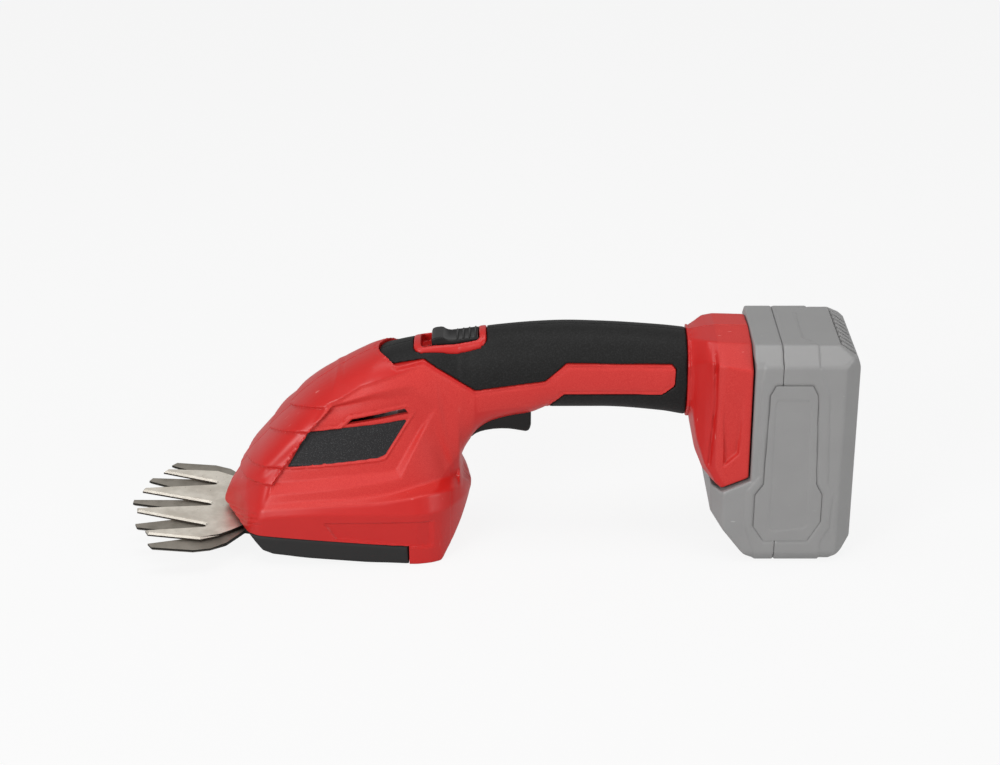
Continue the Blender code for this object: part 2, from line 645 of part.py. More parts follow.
def side_plate(name, outline, low, side, high=60.0):
    """A cutter that reaches in from one side of the tool to the half-width low."""
    reach = (low, high) if side > 0 else (-high, -low)
    return add(name, plate_mesh(name, [outline], *reach, True))


for side in (-1, 1):
    cuts.append(side_plate("vent", VENT, 12.0, side))
    cuts.append(side_pan("panel", PANEL, PANEL_DEPTH, PANEL_SPREAD, side))
    cuts.append(side_plate("shoe_panel", SHOE_PANEL, SHOE_PANEL_Y, side))
    cuts.append(side_plate("thumb_recess", RECEIVER_RECESS, RECEIVER_RECESS_Y, side))
TRIGGER_SLOT = (-17.9, 17.6)
cuts.append(box("trigger_slot", TRIGGER_SLOT, (-TRIGGER_HALF - GAP, TRIGGER_HALF + GAP), (58.2, 82)))
BEZEL = (-20.3, 18.2, 12.0)                 # front, rear and half-width, in the slider axes
WINDOW = (-16.5, 14.6, 8.6)
bezel_front, bezel_rear, bezel_half = BEZEL
cuts.append(box("bezel_seat", (bezel_front - GAP, bezel_rear + GAP), (-bezel_half - GAP, bezel_half + GAP),
                (-9.0, 20), slider_axes))
for x, z in SCREW_SPOTS:
    cuts.append(rod("hole", SCREW_SHANK + GAP, SCREW_TIP - 1, SCREW_SEAT, 8, (x, z), across=True))
    cuts.append(rod("bore", SCREW_HEAD + GAP, SCREW_SEAT, 60, 10, (x, z), across=True))
cuts.append(rod("pin_hole", PIN_RADIUS + GAP, -12.3, 12.3, 12, (TRIGGER_X, TRIGGER_Z), across=True))
# Grooves between the plates of the nose, at (height, lean to the sides, rear end)
NOSE_LINES = ((75.5, 0.37, -87.0), (62.0, 0.365, -100.5), (46.1, 0.21, -114.0))
GROOVE_WIDTH = 1.2
GROOVE_DEPTH = 0.9
for height, lean, end in NOSE_LINES:
    rise = 50 * lean
    bend = [(-50, height + rise), (0, height), (50, height + rise), (50, height + rise - GROOVE_WIDTH),
            (0, height - GROOVE_WIDTH), (-50, height + rise - GROOVE_WIDTH)]
    groove = add("groove", loft_mesh("groove", [[(x, y, z) for y, z in bend] for x in (-155, end)]))
    combine(groove, add("skin", loft_mesh("skin", [head_section(x, GROOVE_DEPTH) for x in HEAD_STATIONS[1:14]])))
    cuts.append(groove)
combine(housing, *cuts)

# The soft grip takes the skin of the handle, and the housing is set back under it
seat = grip_zone("seat", -GAP)
combine(seat, core_solid(GRIP_SKIN + GAP))
combine(housing, seat)


def half_of(source, name, material, side):
    """The left (-1) or right (+1) half of a body, cut along the parting plane."""
    made = add(name, source.data.copy(), material)
    keep_out = (-GAP / 2, 80) if side < 0 else (-80, GAP / 2)
    combine(made, box("half", (-200, 200), keep_out, (-30, 160)))
    flatten(made.data, 0.03, 0.00008)
    return made


for side, word in ((-1, "left"), (1, "right")):
    half_of(housing, "housing_" + word, RED, side)
bpy.data.objects.remove(housing, do_unlink=True)

grip = grip_zone("grip", 0.0)
combine(grip, handle_solid("outer", 0.0), how="INTERSECT")
combine(grip, core_solid(GRIP_SKIN))
combine(grip, box("bezel_seat", (bezel_front - GAP, bezel_rear + GAP),
                  (-bezel_half - GAP, bezel_half + GAP), (-9.0, 20), slider_axes))
for side, word in ((-1, "left"), (1, "right")):
    half_of(grip, "grip_" + word, RUBBER, side)
bpy.data.objects.remove(grip, do_unlink=True)

# Slider frame: a red ring let into the top of the handle
FOOT = (-2.0, 7.0)                          # the slider's foot, and the end of its spring bore
BORE_END = 4.0
slider_bezel = box("slider_bezel", (bezel_front, bezel_rear), (-bezel_half, bezel_half), (-8.7, 12), slider_axes,
                   RED)
combine(slider_bezel, box("window", WINDOW[:2], (-WINDOW[2], WINDOW[2]), (-6.5, 20), slider_axes))
combine(slider_bezel, box("foot_slot", (FOOT[0] - SLIDER_TRAVEL - 2 * GAP, FOOT[1] + 2 * GAP), (-3.3, 3.3),
                          (-12, 0), slider_axes))
combine(slider_bezel, handle_solid("skin", -0.4), how="INTERSECT")
SPRING_WALL = WINDOW[0] + 3.5               # the lug that the slider's spring pushes against
SPRING_AXIS = -11.5
combine(slider_bezel, box("lug", (SPRING_WALL, SPRING_WALL + 2.0), (-3.2, 3.2), (SPRING_AXIS - 3.0, -7.5),
                          slider_axes), how="UNION")

# Lock-off slider: a thumb piece with a raised nose and ribs, on a foot that reaches inside
SLIDER_FRONT = WINDOW[0] + SLIDER_TRAVEL + GAP
SLIDER_REAR = WINDOW[1] - GAP
SLIDER_HALF = 8.0
RIDGE = 0.7
thumb = [(SLIDER_FRONT, -6.0), (SLIDER_FRONT, 3.4), (SLIDER_FRONT + 1.5, 4.6), (SLIDER_FRONT + 5.5, 4.6),
         (SLIDER_FRONT + 9.5, 1.6)]
for i in range(4):
    rib_at = SLIDER_FRONT + 13.0 + 3.2 * i
    thumb += [(rib_at, 1.3), (rib_at + 0.5, 1.3 + RIDGE), (rib_at + 1.3, 1.3 + RIDGE), (rib_at + 1.8, 1.3)]
thumb += [(SLIDER_REAR, 1.3), (SLIDER_REAR, -6.0)]
slider = add("lock_off_slider", plate_mesh("slider", [thumb], -SLIDER_HALF, SLIDER_HALF, True), BLACK,
             slider_axes)
foot = box("foot", FOOT, (-3.0, 3.0), (SPRING_AXIS - 4.5, -5), slider_axes)
combine(slider, foot, how="UNION")
spring_bore = rod("spring_bore", 2.3, FOOT[0] - 2, BORE_END, parent=slider_axes)
spring_bore.location = Vector((0, 0, SPRING_AXIS)) * MM
spring_bore.rotation_euler = (0, math.pi / 2, 0)
combine(slider, spring_bore)
spring_from = SPRING_WALL + 2.0 + GAP
slider_spring = wire("slider_spring", coil_points(1.5, BORE_END - GAP - spring_from, 4), 0.4, ZINC,
                     slider_axes, 0)
slider_spring.location = Vector((spring_from, 0, SPRING_AXIS)) * MM
slider_spring.rotation_euler = (0, math.pi / 2, 0)

# Trigger: a long thin lever, hinged at its front end
reach = 16.5 - TRIGGER_X
lever = [(-5.2, -14.6), (-4.2, -15.0), (-0.8, -12.6), (4.3, -10.8), (12.8, -9.8), (19.5, -10.4),
         (25.7, -11.4), (27.7, -10.2), (28.3, -8.3), (reach, -1.0), (reach, 4.2), (reach - 4, 6.0),
         (reach - 9, 3.6), (6, 3.6), (0, 4.2), (-3.2, 3.0), (-4.2, 0), (-4.4, -5), (-5.6, -12.6)]
trigger = add("trigger", plate_mesh("trigger", [lever], -TRIGGER_HALF, TRIGGER_HALF, True), BLACK,
              trigger_axis)
SPRING_HALF = 4.0
spring_gap = box("gap", (-7, 4.4), (-SPRING_HALF - GAP, SPRING_HALF + GAP), (-4.4, 8), trigger_axis)
combine(trigger, rod("hole", PIN_RADIUS + GAP, -20, 20, parent=trigger_axis, across=True), spring_gap)
add("trigger_pin", rod_mesh("pin", PIN_RADIUS, -12, 12, across=True), ZINC, trigger_axis)
coil = coil_points(2.3, 7.0, 4)
trigger_spring = wire("trigger_spring", coil, 0.4, ZINC, trigger_axis, 0)
trigger_spring.location = Vector((0, 3.5, 0)) * MM
trigger_spring.rotation_euler = (math.pi / 2, 0, 0)


# Blades
def blade_edge(tips, slots, shoulder):
    """The toothed front of a blade, from its +Y shoulder round to its -Y shoulder."""
    line = list(shoulder)
    for i, (x, y) in enumerate(tips):
        lean = 0.05 * abs(y)
        outward = 1.0 if y >= 0 else -1.0
        corners = [(x + (lean if outward > 0 else 0), y + TOOTH_TIP / 2),
                   (x + (lean if outward < 0 else 0), y - TOOTH_TIP / 2)]
        line += corners
        if i < len(slots):
            sx, sy = slots[i]
            for k in range(5):
                a = math.pi / 2 - math.pi * k / 4
                line.append((sx + SLOT_RADIUS * math.cos(a), sy + SLOT_RADIUS * math.sin(a)))
    return line + [(x, -y) for x, y in reversed(shoulder)]


def ground_mesh(name, outline, cutting, back, hind):
    """A blade whose edges in front of hind are ground off from the side away from its cutting face."""
    inner = [thin if full[0] < hind else full for thin, full in zip(grown(outline, -GRIND), outline)]
    levels = [(outline, cutting), (outline, (cutting + back) / 2), (inner, back)]
    return loft_mesh(name, [[(x, y, z) for x, y in line] for line, z in levels])


HALF_BLADE = BLADE_WIDTH / 2
fixed_tips = [(-69.0, 48.2), (-78.6, 27.4), (-BLADE_REACH, 0.0), (-78.6, -27.4), (-69.0, -48.2)]
fixed_slots = [(-43.5, 33.6), (-42.5, 9.2), (-42.5, -9.2), (-43.5, -33.6)]
fixed_shoulder = [(-20.4, 24.4), (-28.6, 39.6), (-36.0, 47.0), (-44.7, HALF_BLADE)]
fixed_line = blade_edge(fixed_tips, fixed_slots, fixed_shoulder)
fixed_line += [(-8, -26), (4, -29), (14, -29), (14, 29), (4, 29), (-8, 26)]
MOUNT = (7.0, 22.0)
MOUNT_SCREW = 2.0
fixed_blade = add("fixed_blade", ground_mesh("fixed_blade", fixed_line, 0.0, -FIXED_THICK, -34.0), STEEL, head_axes)
fixed_holes = [rod("hole", PIVOT_RADIUS + GAP, -9, 9, 16, (PIVOT_X, 0), head_axes)]
fixed_holes += [rod("hole", MOUNT_SCREW + GAP, -9, 9, 12, (MOUNT[0], s * MOUNT[1]), head_axes) for s in (-1, 1)]
combine(fixed_blade, *fixed_holes)

moving_tips = [(-72.0, 36.6), (-80.0, 12.0), (-80.0, -12.0), (-72.0, -36.6)]
moving_slots = [(-43.0, 25.0), (-43.0, 0.0), (-43.0, -25.0)]
moving_shoulder = [(-14, 15.5), (-21.6, 22.3), (-27, 28.6), (-33, 34.5), (-42.2, 40.3)]
FORK_HALF = 2 * CRANK_THROW + CRANK_PIN + 0.4
FORK_ARM = 3.2
fork_bottom = DRIVE_X - CRANK_THROW - CRANK_PIN - 1.4
fork_end = DRIVE_X + CRANK_THROW + CRANK_PIN + 2.0
moving_line = blade_edge(moving_tips, moving_slots, moving_shoulder)
rear = [(-6, 12.5), (PIVOT_X + 4, 12.5), (fork_bottom - 3, FORK_HALF + FORK_ARM), (fork_end, FORK_HALF + FORK_ARM),
        (fork_end, FORK_HALF), (fork_bottom + 3, FORK_HALF), (fork_bottom, FORK_HALF - 3)]
moving_line += [(x, -y) for x, y in rear] + list(reversed(rear))
moving_line = [(x - PIVOT_X, y) for x, y in moving_line]
MOVING_LOW = GAP
MOVING_HIGH = MOVING_LOW + MOVING_THICK
moving_blade = add("moving_blade", ground_mesh("moving_blade", moving_line, MOVING_LOW, MOVING_HIGH, -36.0), STEEL,
                   pivot_axis)
combine(moving_blade, rod("hole", PIVOT_RADIUS + GAP, -9, 9, 16, parent=pivot_axis))

# Blade pivot: a shouldered bolt from below and its nut
NUT_HEIGHT = 4.0
BOLT_HEAD = (5.5, 2.0)
bolt_end = MOVING_HIGH + GAP + NUT_HEIGHT + 0.6
bolt_low = -FIXED_THICK - GAP
pivot_bolt = add("pivot_bolt", turned_mesh("pivot_bolt", [(0, bolt_end), (PIVOT_RADIUS - 0.4, bolt_end),
                 (PIVOT_RADIUS, bolt_end - 0.4), (PIVOT_RADIUS, bolt_low), (BOLT_HEAD[0], bolt_low),
                 (BOLT_HEAD[0], bolt_low - BOLT_HEAD[1]), (0, bolt_low - BOLT_HEAD[1])], 12), ZINC, pivot_axis)
combine(pivot_bolt, rod("socket", 2.3, -9, bolt_low - 0.6, 6, parent=pivot_axis))
NUT_RADIUS = 5.8
add("pivot_nut", plate_mesh("pivot_nut", [circle(NUT_RADIUS, 6), circle(PIVOT_RADIUS + GAP, 16)],
                            MOVING_HIGH + GAP, MOVING_HIGH + GAP + NUT_HEIGHT), ZINC, pivot_axis)


# Gears
def gear_outline(teeth, module, phase):
    """Teeth with backlash, their flanks drawn through the root and the tip of an involute."""
    pitch = teeth * module / 2
    base = pitch * math.cos(math.radians(20))
    tip = pitch + 0.85 * module
    root = pitch - 1.15 * module
    half_tooth = math.pi / (2 * teeth) - 0.09 * module / pitch

    def roll(radius):
        ratio = max(radius / base, 1.0)
        turn = math.sqrt(ratio * ratio - 1)
        return turn - math.atan(turn)

    at_pitch = roll(pitch)
    line = []
    for i in range(teeth):
        middle = phase + 2 * math.pi * i / teeth
        flank = [(r, half_tooth + at_pitch - roll(r)) for r in (root, tip)]
        for r, a in flank:
            line.append((r * math.cos(middle - a), r * math.sin(middle - a)))
        for r, a in reversed(flank):
            line.append((r * math.cos(middle + a), r * math.sin(middle + a)))
    return line


toward_idler = math.atan2(IDLER_Y, IDLER_X - DRIVE_X)
from_motor = math.atan2(IDLER_Y, IDLER_X - MOTOR_X)
BASE_TOP = GEAR_FLOOR + PLATE
DRIVE_LOW = BASE_TOP + 2 * GAP
DRIVE_HIGH = DRIVE_LOW + DRIVE_THICK
IDLER_LOW = DRIVE_HIGH + 1.8
IDLER_HIGH = IDLER_LOW + IDLER_THICK
ROOF_LOW = IDLER_HIGH + 1.0
add("drive_gear", plate_mesh("drive_gear", [gear_outline(DRIVE_TEETH, MODULE_OUT, toward_idler),
                             circle(SHAFT_RADIUS + GAP, 12)], DRIVE_LOW, DRIVE_HIGH), NYLON, crank_axis)
spur_phase = toward_idler + math.pi + math.pi / SPUR_TEETH
wheel_phase = from_motor + math.pi
idler_gear = add("idler_gear", plate_mesh("idler_gear", [gear_outline(IDLER_TEETH, MODULE_IN, wheel_phase)],
                                          IDLER_LOW, IDLER_HIGH), ZINC, idler_axis)
spur = add("spur", plate_mesh("spur", [gear_outline(SPUR_TEETH, MODULE_OUT, spur_phase)], DRIVE_LOW,
                              IDLER_LOW + 1.0), parent=idler_axis)
combine(idler_gear, spur, how="UNION")
combine(idler_gear, rod("bore", IDLER_AXLE + GAP, 0, 40, parent=idler_axis))
pinion_phase = from_motor + math.pi / PINION_TEETH
add("motor_pinion", plate_mesh("motor_pinion", [gear_outline(PINION_TEETH, MODULE_IN, pinion_phase),
                               circle(MOTOR_SHAFT + GAP, 12)], IDLER_LOW, IDLER_HIGH + 0.4), BRASS, motor_axis)

# Crank shaft: shaft, web and crank pin in one piece
WEB_RADIUS = CRANK_THROW + CRANK_PIN + 1.5
shaft_top = CASE_TOP - 0.6
crank_shaft = add("crank_shaft", rod_mesh("shaft", SHAFT_RADIUS, BASE_TOP - 1.0, shaft_top), ZINC, crank_axis)
web = rod("web", WEB_RADIUS, GEAR_FLOOR, BASE_TOP + GAP, 16, parent=crank_axis)
pin = rod("pin", CRANK_PIN, MOVING_LOW + 0.2, GEAR_FLOOR + 1.0, 12, (-CRANK_THROW, 0), crank_axis)
combine(crank_shaft, web, pin, how="UNION")
add("idler_axle", rod_mesh("axle", IDLER_AXLE, GEAR_FLOOR + 0.2, CASE_TOP - 0.2), ZINC, idler_axis)

# Gear base and gear case, which carry the shafts, the motor and the fixed blade
BUSH_WALL = 2.4
bush_radius = SHAFT_RADIUS + GAP + BUSH_WALL
gear_base = add("gear_base", plate_mesh("gear_base", [case_outline(PLATE), circle(WEB_RADIUS + 0.6, 16, (DRIVE_X, 0)),
                circle(IDLER_AXLE + GAP, 12, (IDLER_X, IDLER_Y))], GEAR_FLOOR, BASE_TOP), ZINC, head_axes)
for side in (-1, 1):
    spot = (MOUNT[0], side * MOUNT[1])
    combine(gear_base, rod("post", 5.0, GAP, GEAR_FLOOR + 0.5, 12, spot, head_axes), how="UNION")
    combine(gear_base, rod("tap", MOUNT_SCREW + GAP, -1, GEAR_FLOOR + 0.4, 12, spot, head_axes))
gear_case = add("gear_case", plate_mesh("gear_case", [case_outline(PLATE)], BASE_TOP + GAP, CASE_TOP), ZINC, head_axes)
hollow = add("hollow", plate_mesh("hollow", [case_outline(0.0)], 0, ROOF_LOW), parent=head_axes)
combine(hollow, rod("bearing_post", bush_radius + GAP + 2.0, DRIVE_HIGH + 1.0, ROOF_LOW + 1, 16, (DRIVE_X, 0),
                    head_axes))
combine(gear_case, hollow)
for radius, spot in ((bush_radius + GAP, (DRIVE_X, 0)), (IDLER_AXLE + GAP, (IDLER_X, IDLER_Y)),
                     (PINION_R + 1.6, (MOTOR_X, 0))):
    combine(gear_case, rod("hole", radius, 0, 60, 12, spot, head_axes))
add("crank_bearing", plate_mesh("bush", [circle(bush_radius, 12), circle(SHAFT_RADIUS + GAP, 12)],
                                DRIVE_HIGH + 1.0, CASE_TOP - 0.2), BRASS, crank_axis)
screw_top = GEAR_FLOOR - 0.2
for side, word in ((-1, "left"), (1, "right")):
    screw = turned_mesh("blade_screw", [(0, screw_top), (MOUNT_SCREW - 0.3, screw_top), (MOUNT_SCREW, screw_top - 0.4),
                        (MOUNT_SCREW, bolt_low), (3.6, bolt_low), (3.6, bolt_low - 1.6), (0, bolt_low - 1.6)], 12)
    add("blade_screw_" + word, screw, ZINC, head_axes, (MOUNT[0], side * MOUNT[1], 0))

# Motor: can, end cap, and the rotor with its windings
CAN_WALL = 4.0
add("motor_can", turned_mesh("motor_can", [(MOTOR_RADIUS - CAN_WALL, MOTOR_CROWN), (MOTOR_RADIUS - 0.8, MOTOR_CROWN),
    (MOTOR_RADIUS, MOTOR_CROWN - 0.8), (MOTOR_RADIUS, MOTOR_FOOT + 1.5), (MOTOR_RADIUS - 1.5, MOTOR_FOOT),
    (PINION_R, MOTOR_FOOT), (PINION_R, MOTOR_FOOT + 2), (MOTOR_RADIUS - CAN_WALL, MOTOR_FOOT + 2),
    (MOTOR_RADIUS - CAN_WALL, MOTOR_CROWN)], 16), ZINC, motor_axis)
CAP_LOW = MOTOR_CROWN + GAP
CAP_HIGH = CAP_LOW + END_CAP
add("motor_end_cap", turned_mesh("motor_end_cap", [(MOTOR_SHAFT + GAP, CAP_HIGH + 2), (5.0, CAP_HIGH + 2),
    (5.0, CAP_HIGH), (MOTOR_RADIUS - 2.0, CAP_HIGH), (MOTOR_RADIUS - 0.8, CAP_HIGH - 1.2),
    (MOTOR_RADIUS - 0.8, CAP_LOW), (MOTOR_SHAFT + GAP, CAP_LOW), (MOTOR_SHAFT + GAP, CAP_HIGH + 2)], 16), BLACK,
    motor_axis)
rotor_radius = MOTOR_RADIUS - CAN_WALL - 0.6
add("motor_rotor", turned_mesh("motor_rotor", [(0, CAP_HIGH + 1), (MOTOR_SHAFT, CAP_HIGH + 1),
    (MOTOR_SHAFT, MOTOR_CROWN - 1), (5, MOTOR_CROWN - 1), (5, MOTOR_CROWN - 8), (10, MOTOR_CROWN - 10),
    (rotor_radius, MOTOR_CROWN - 14), (rotor_radius, MOTOR_FOOT + 12), (9, MOTOR_FOOT + 7),
    (MOTOR_SHAFT, MOTOR_FOOT + 6), (MOTOR_SHAFT, IDLER_LOW), (0, IDLER_LOW)], 16), COPPER, motor_axis)

# Base cover: a black tray that closes the head from below and leaves the blades free in front
COVER_REAR = (HEEL_FRONT - HEAD_X) / math.cos(HEAD_TILT) - GAP
cover_half = rail((-20, 35.5), (-12, 38.2), (0, 39.2), (80, 40.2))
cover_low = rail((-20, -2.6), (-14, -3.7), (0, -4.6), (36, -5.3), (80, -6.1))


def cover_section(x, inset, floor):
    half = cover_half(x) - inset
    low = cover_low(x) if floor is None else floor
    return [(x, half - 3.0, low), (x, half, low + 4.0), (x, half, SHOE_TOP), (x, -half, SHOE_TOP),
            (x, -half, low + 4.0), (x, -half + 3.0, low)]


COVER_STATIONS = (-20, -14, -6, 6, 36, COVER_REAR)
base_cover = add("base_cover", loft_mesh("base_cover", [cover_section(x, 0.0, None) for x in COVER_STATIONS]), BLACK,
                 head_axes)
tray_floor = -FIXED_THICK - GAP
tray = [[(x, y, z + (2 if z > 0 else 0)) for x, y, z in cover_section(x, WALL, tray_floor)]
        for x in (-30, 20, COVER_REAR - WALL)]
combine(base_cover, add("tray", loft_mesh("tray", tray), parent=head_axes))
for x, y, r in ((PIVOT_X, 0, BOLT_HEAD[0] + 1), (MOUNT[0], MOUNT[1], 4.2), (MOUNT[0], -MOUNT[1], 4.2)):
    combine(base_cover, rod("hole", r, -20, 0, 12, (x, y), head_axes))

# Switch, contact block and wiring
box("switch_body", SWITCH[:2], (-SWITCH_HALF, SWITCH_HALF), SWITCH[2:], material=BLACK)
BLOCK_LOW = TOWER_TOP + 0.8
box("contact_block", (CAVITY_FRONT + 1.0, RECEIVER_BACK - 1.5), (-17.5, 17.5), (BLOCK_LOW, CAVITY_ROOF - GAP),
    material=BLACK)
CONTACT = (RECEIVER_BACK - 11.0, RECEIVER_BACK - 2.5, TOWER_TOP - 9.0, BLOCK_LOW - GAP)
CONTACT_THICK = 0.8
BLADE_SPOTS = (("plus", -11.0), ("minus", 11.0), ("sense", 0.0))
for word, y in BLADE_SPOTS:
    box("contact_" + word, CONTACT[:2], (y - CONTACT_THICK / 2, y + CONTACT_THICK / 2), CONTACT[2:], material=BRASS)
WIRE_RADIUS = 1.0
for word, y, material in (("plus", -4.0, WIRE_RED), ("minus", 4.0, WIRE_BLACK)):
    wire("battery_wire_" + word, [(SWITCH[1] + GAP, y, 95), (26, y, 95), (30, y, 103), (34, y, 105), (70, y, 106),
                                  (RECEIVER_BACK - 25, y, 102.5), (RECEIVER_BACK - 19, y, 102.5),
                                  (RECEIVER_BACK - 15.2, y, BLOCK_LOW - 3.6), (RECEIVER_BACK - 15, y, BLOCK_LOW - GAP)],
         WIRE_RADIUS, material)
    bpy.context.view_layer.update()
    foot_at = motor_axis.matrix_world @ (Vector((0, 1.6 * y, CAP_HIGH + 0.3)) * MM) / MM
    wire("motor_wire_" + word, [(foot_at.x, foot_at.y, foot_at.z + 0.6), (foot_at.x + 2, foot_at.y, foot_at.z + 4),
                                (-40, y, 99.5), (-28, y, 100), (-18, y, 96), (SWITCH[0] - GAP, y, 94)], WIRE_RADIUS,
         material)

# Housing screws
housing_screw = turned_mesh("housing_screw", [(0, SCREW_SEAT + 2.4), (SCREW_HEAD - 0.8, SCREW_SEAT + 2.4),
    (SCREW_HEAD, SCREW_SEAT + 1.4), (SCREW_HEAD, SCREW_SEAT + GAP), (SCREW_SHANK, SCREW_SEAT + GAP),
    (SCREW_SHANK, SCREW_TIP + 2), (0, SCREW_TIP)], 8)
housing_screw.transform(Matrix.Rotation(-math.pi / 2, 4, "X"))
for i, (x, z) in enumerate(SCREW_SPOTS):
    add("housing_screw_%d" % (i + 1), housing_screw, ZINC, at=(x, 0, z))

# Battery pack: two cases round the cells, with a tower and grooves that slide on the rails
SLIDE_GAP = 0.4
BUTTON_FROM = Vector((BATTERY_REAR - 11.5, BATTERY_TOP))
BUTTON_TO = Vector((BATTERY_REAR - 1.9, BATTERY_TOP - 6.9))
PACK_SIDE = [(RECEIVER_BACK + GAP, BATTERY_TOP), tuple(BUTTON_FROM), tuple(BUTTON_TO),
             (BATTERY_REAR, BATTERY_TOP - 12.2), (BATTERY_REAR, 12.1), (BATTERY_REAR - 4.9, 5.2),
             (BATTERY_REAR - 12.0, 0.0), (RECEIVER_BACK + 4.0, 0.0), (RECEIVER_BACK - 1.0, 3.0),
             (RECEIVER_BACK - 19.5, 27.0), (RECEIVER_BACK - 20.0, 43.9), (RECEIVER_BACK - 14.0, 41.6),
             (RECEIVER_BACK + GAP, 48.0)]
PACK_FRONT = [(BATTERY_HALF - 4.0, 0.0), (BATTERY_HALF, 6.0), (BATTERY_HALF, BATTERY_TOP - 9.3),
              (BATTERY_HALF - 10.8, BATTERY_TOP)]
PACK_PLAN = [(RECEIVER_BACK - 30.0, 26.0), (RECEIVER_BACK - 20.0, 29.5), (RECEIVER_BACK - 13.0, BATTERY_HALF),
             (BATTERY_REAR - 9.5, BATTERY_HALF), (BATTERY_REAR, BATTERY_HALF - 8.5)]
# The shallow panel in each side of the pack
PACK_PANEL = [(8.6, 12.3), (32.5, 12.3), (39.2, 23.9), (39.2, 40.2), (35.9, 46.7), (34.0, BATTERY_TOP - 24.6),
              (30.9, BATTERY_TOP - 18.4), (11.2, BATTERY_TOP - 18.4), (8.2, BATTERY_TOP - 24.6), (6.9, 46.2),
              (2.9, 40.2), (2.8, 21.1)]
PACK_PANEL_DEPTH = 0.8


def mirrored(points):
    return points + [(-y, z) for y, z in reversed(points)]


def pack_body(name, inset):
    """The pack as the common space of its side, front and plan outlines."""
    side = grown(PACK_SIDE, -inset)
    front = grown(mirrored(PACK_FRONT), -inset)
    plan = grown(PACK_PLAN + [(x, -y) for x, y in reversed(PACK_PLAN)], -inset)
    body = upright(name, side, 60)
    front_mesh = plate_mesh("front", [[(-z, y) for y, z in front]], RECEIVER_BACK - 40, BATTERY_REAR + 14)
    front_mesh.transform(turn_up)
    combine(body, add("front", front_mesh), add("plan", plate_mesh("plan", [plan], -20, 160)), how="INTERSECT")
    return body


pack = pack_body("pack", 0.0)
tower = box("tower", (RECEIVER_BACK - 13.0, RECEIVER_BACK + 2), (-TOWER_HALF, TOWER_HALF), (44.0, TOWER_TOP))
combine(pack, tower, how="UNION")
pack_room = pack_body("pack_room", WALL)
BUTTON_ROOM = 9.0          # depth of solid behind the latch button
slope = (BUTTON_TO - BUTTON_FROM).normalized()
button_turn = math.atan2(-slope.y, slope.x)
button_middle = (BUTTON_FROM + BUTTON_TO) / 2
button_axes = axes("button_axes", (button_middle.x, 0, button_middle.y), button_turn, tool_frame)
combine(pack_room, box("shelf", (-30, 30), (-60, 60), (-BUTTON_ROOM, 20), button_axes))
combine(pack, pack_room)
groove_low = RAIL_LOW - GAP
pack_cuts = []
for side in (-1, 1):
    edge = sorted((side * (RAIL_EDGE - SLIDE_GAP), side * (TOWER_HALF + 2)))
    pack_cuts.append(box("groove", (RAIL_X - RAIL_THICK / 2 - SLIDE_GAP, RAIL_X + RAIL_THICK / 2 + SLIDE_GAP),
                         edge, (groove_low, TOWER_TOP + 5)))
for word, y in BLADE_SPOTS:
    pack_cuts.append(box("slot", (CONTACT[0] - 0.7, CONTACT[1] + 0.7), (y - 1.1, y + 1.1),
                         (CONTACT[2] - 2.0, TOWER_TOP + 5)))
for side in (-1, 1):
    panel = [(RECEIVER_BACK + x, z) for x, z in PACK_PANEL]
    pack_cuts.append(side_plate("pack_panel", panel, BATTERY_HALF - PACK_PANEL_DEPTH, side))
BUTTON_HALF = 24.0
BUTTON_REACH = 4.4
BUTTON_THICK = 3.2
POCKET = BUTTON_THICK + BUTTON_TRAVEL + 0.8
SPRING_WELL = 2.0
pack_cuts.append(box("pocket", (-BUTTON_REACH - GAP, BUTTON_REACH + GAP), (-BUTTON_HALF - GAP, BUTTON_HALF + GAP),
                     (-POCKET, 6), button_axes))
pack_cuts.append(rod("bore", 2.9, -POCKET - SPRING_WELL, 0, parent=button_axes))
combine(pack, *pack_cuts)
for word, keep_out in (("front", (BATTERY_SEAM - GAP / 2, BATTERY_REAR + 30)),
                       ("rear", (RECEIVER_BACK - 70, BATTERY_SEAM + GAP / 2))):
    case = add("battery_%s_case" % word, pack.data.copy(), GREY)
    combine(case, box("half", keep_out, (-80, 80), (-30, 160)))
bpy.data.objects.remove(pack, do_unlink=True)

# Latch button: a plate with eight ribs across the top rear edge of the pack
RIBS = 8
RIB_PITCH = 2 * BUTTON_HALF / RIBS
ribbed = [(-BUTTON_HALF, -BUTTON_THICK)]
for i in range(RIBS):
    y = -BUTTON_HALF + RIB_PITCH * i
    ribbed += [(y, 0.0), (y + 0.6 * RIB_PITCH, 0.0), (y + 0.6 * RIB_PITCH, -1.3), (y + RIB_PITCH, -1.3)]
ribbed.append((BUTTON_HALF, -BUTTON_THICK))
button_mesh = plate_mesh("button", [[(-z, y) for y, z in ribbed]], -BUTTON_REACH, BUTTON_REACH)
button_mesh.transform(turn_up)
add("battery_button", button_mesh, GREY, button_axes)
spring_foot = -POCKET - SPRING_WELL + GAP + 0.35
spring_head = -BUTTON_THICK - GAP - 0.35
button_spring = wire("button_spring", coil_points(2.1, spring_head - spring_foot, 3), 0.35, ZINC, button_axes, 0)
button_spring.location = Vector((0, 0, spring_foot)) * MM

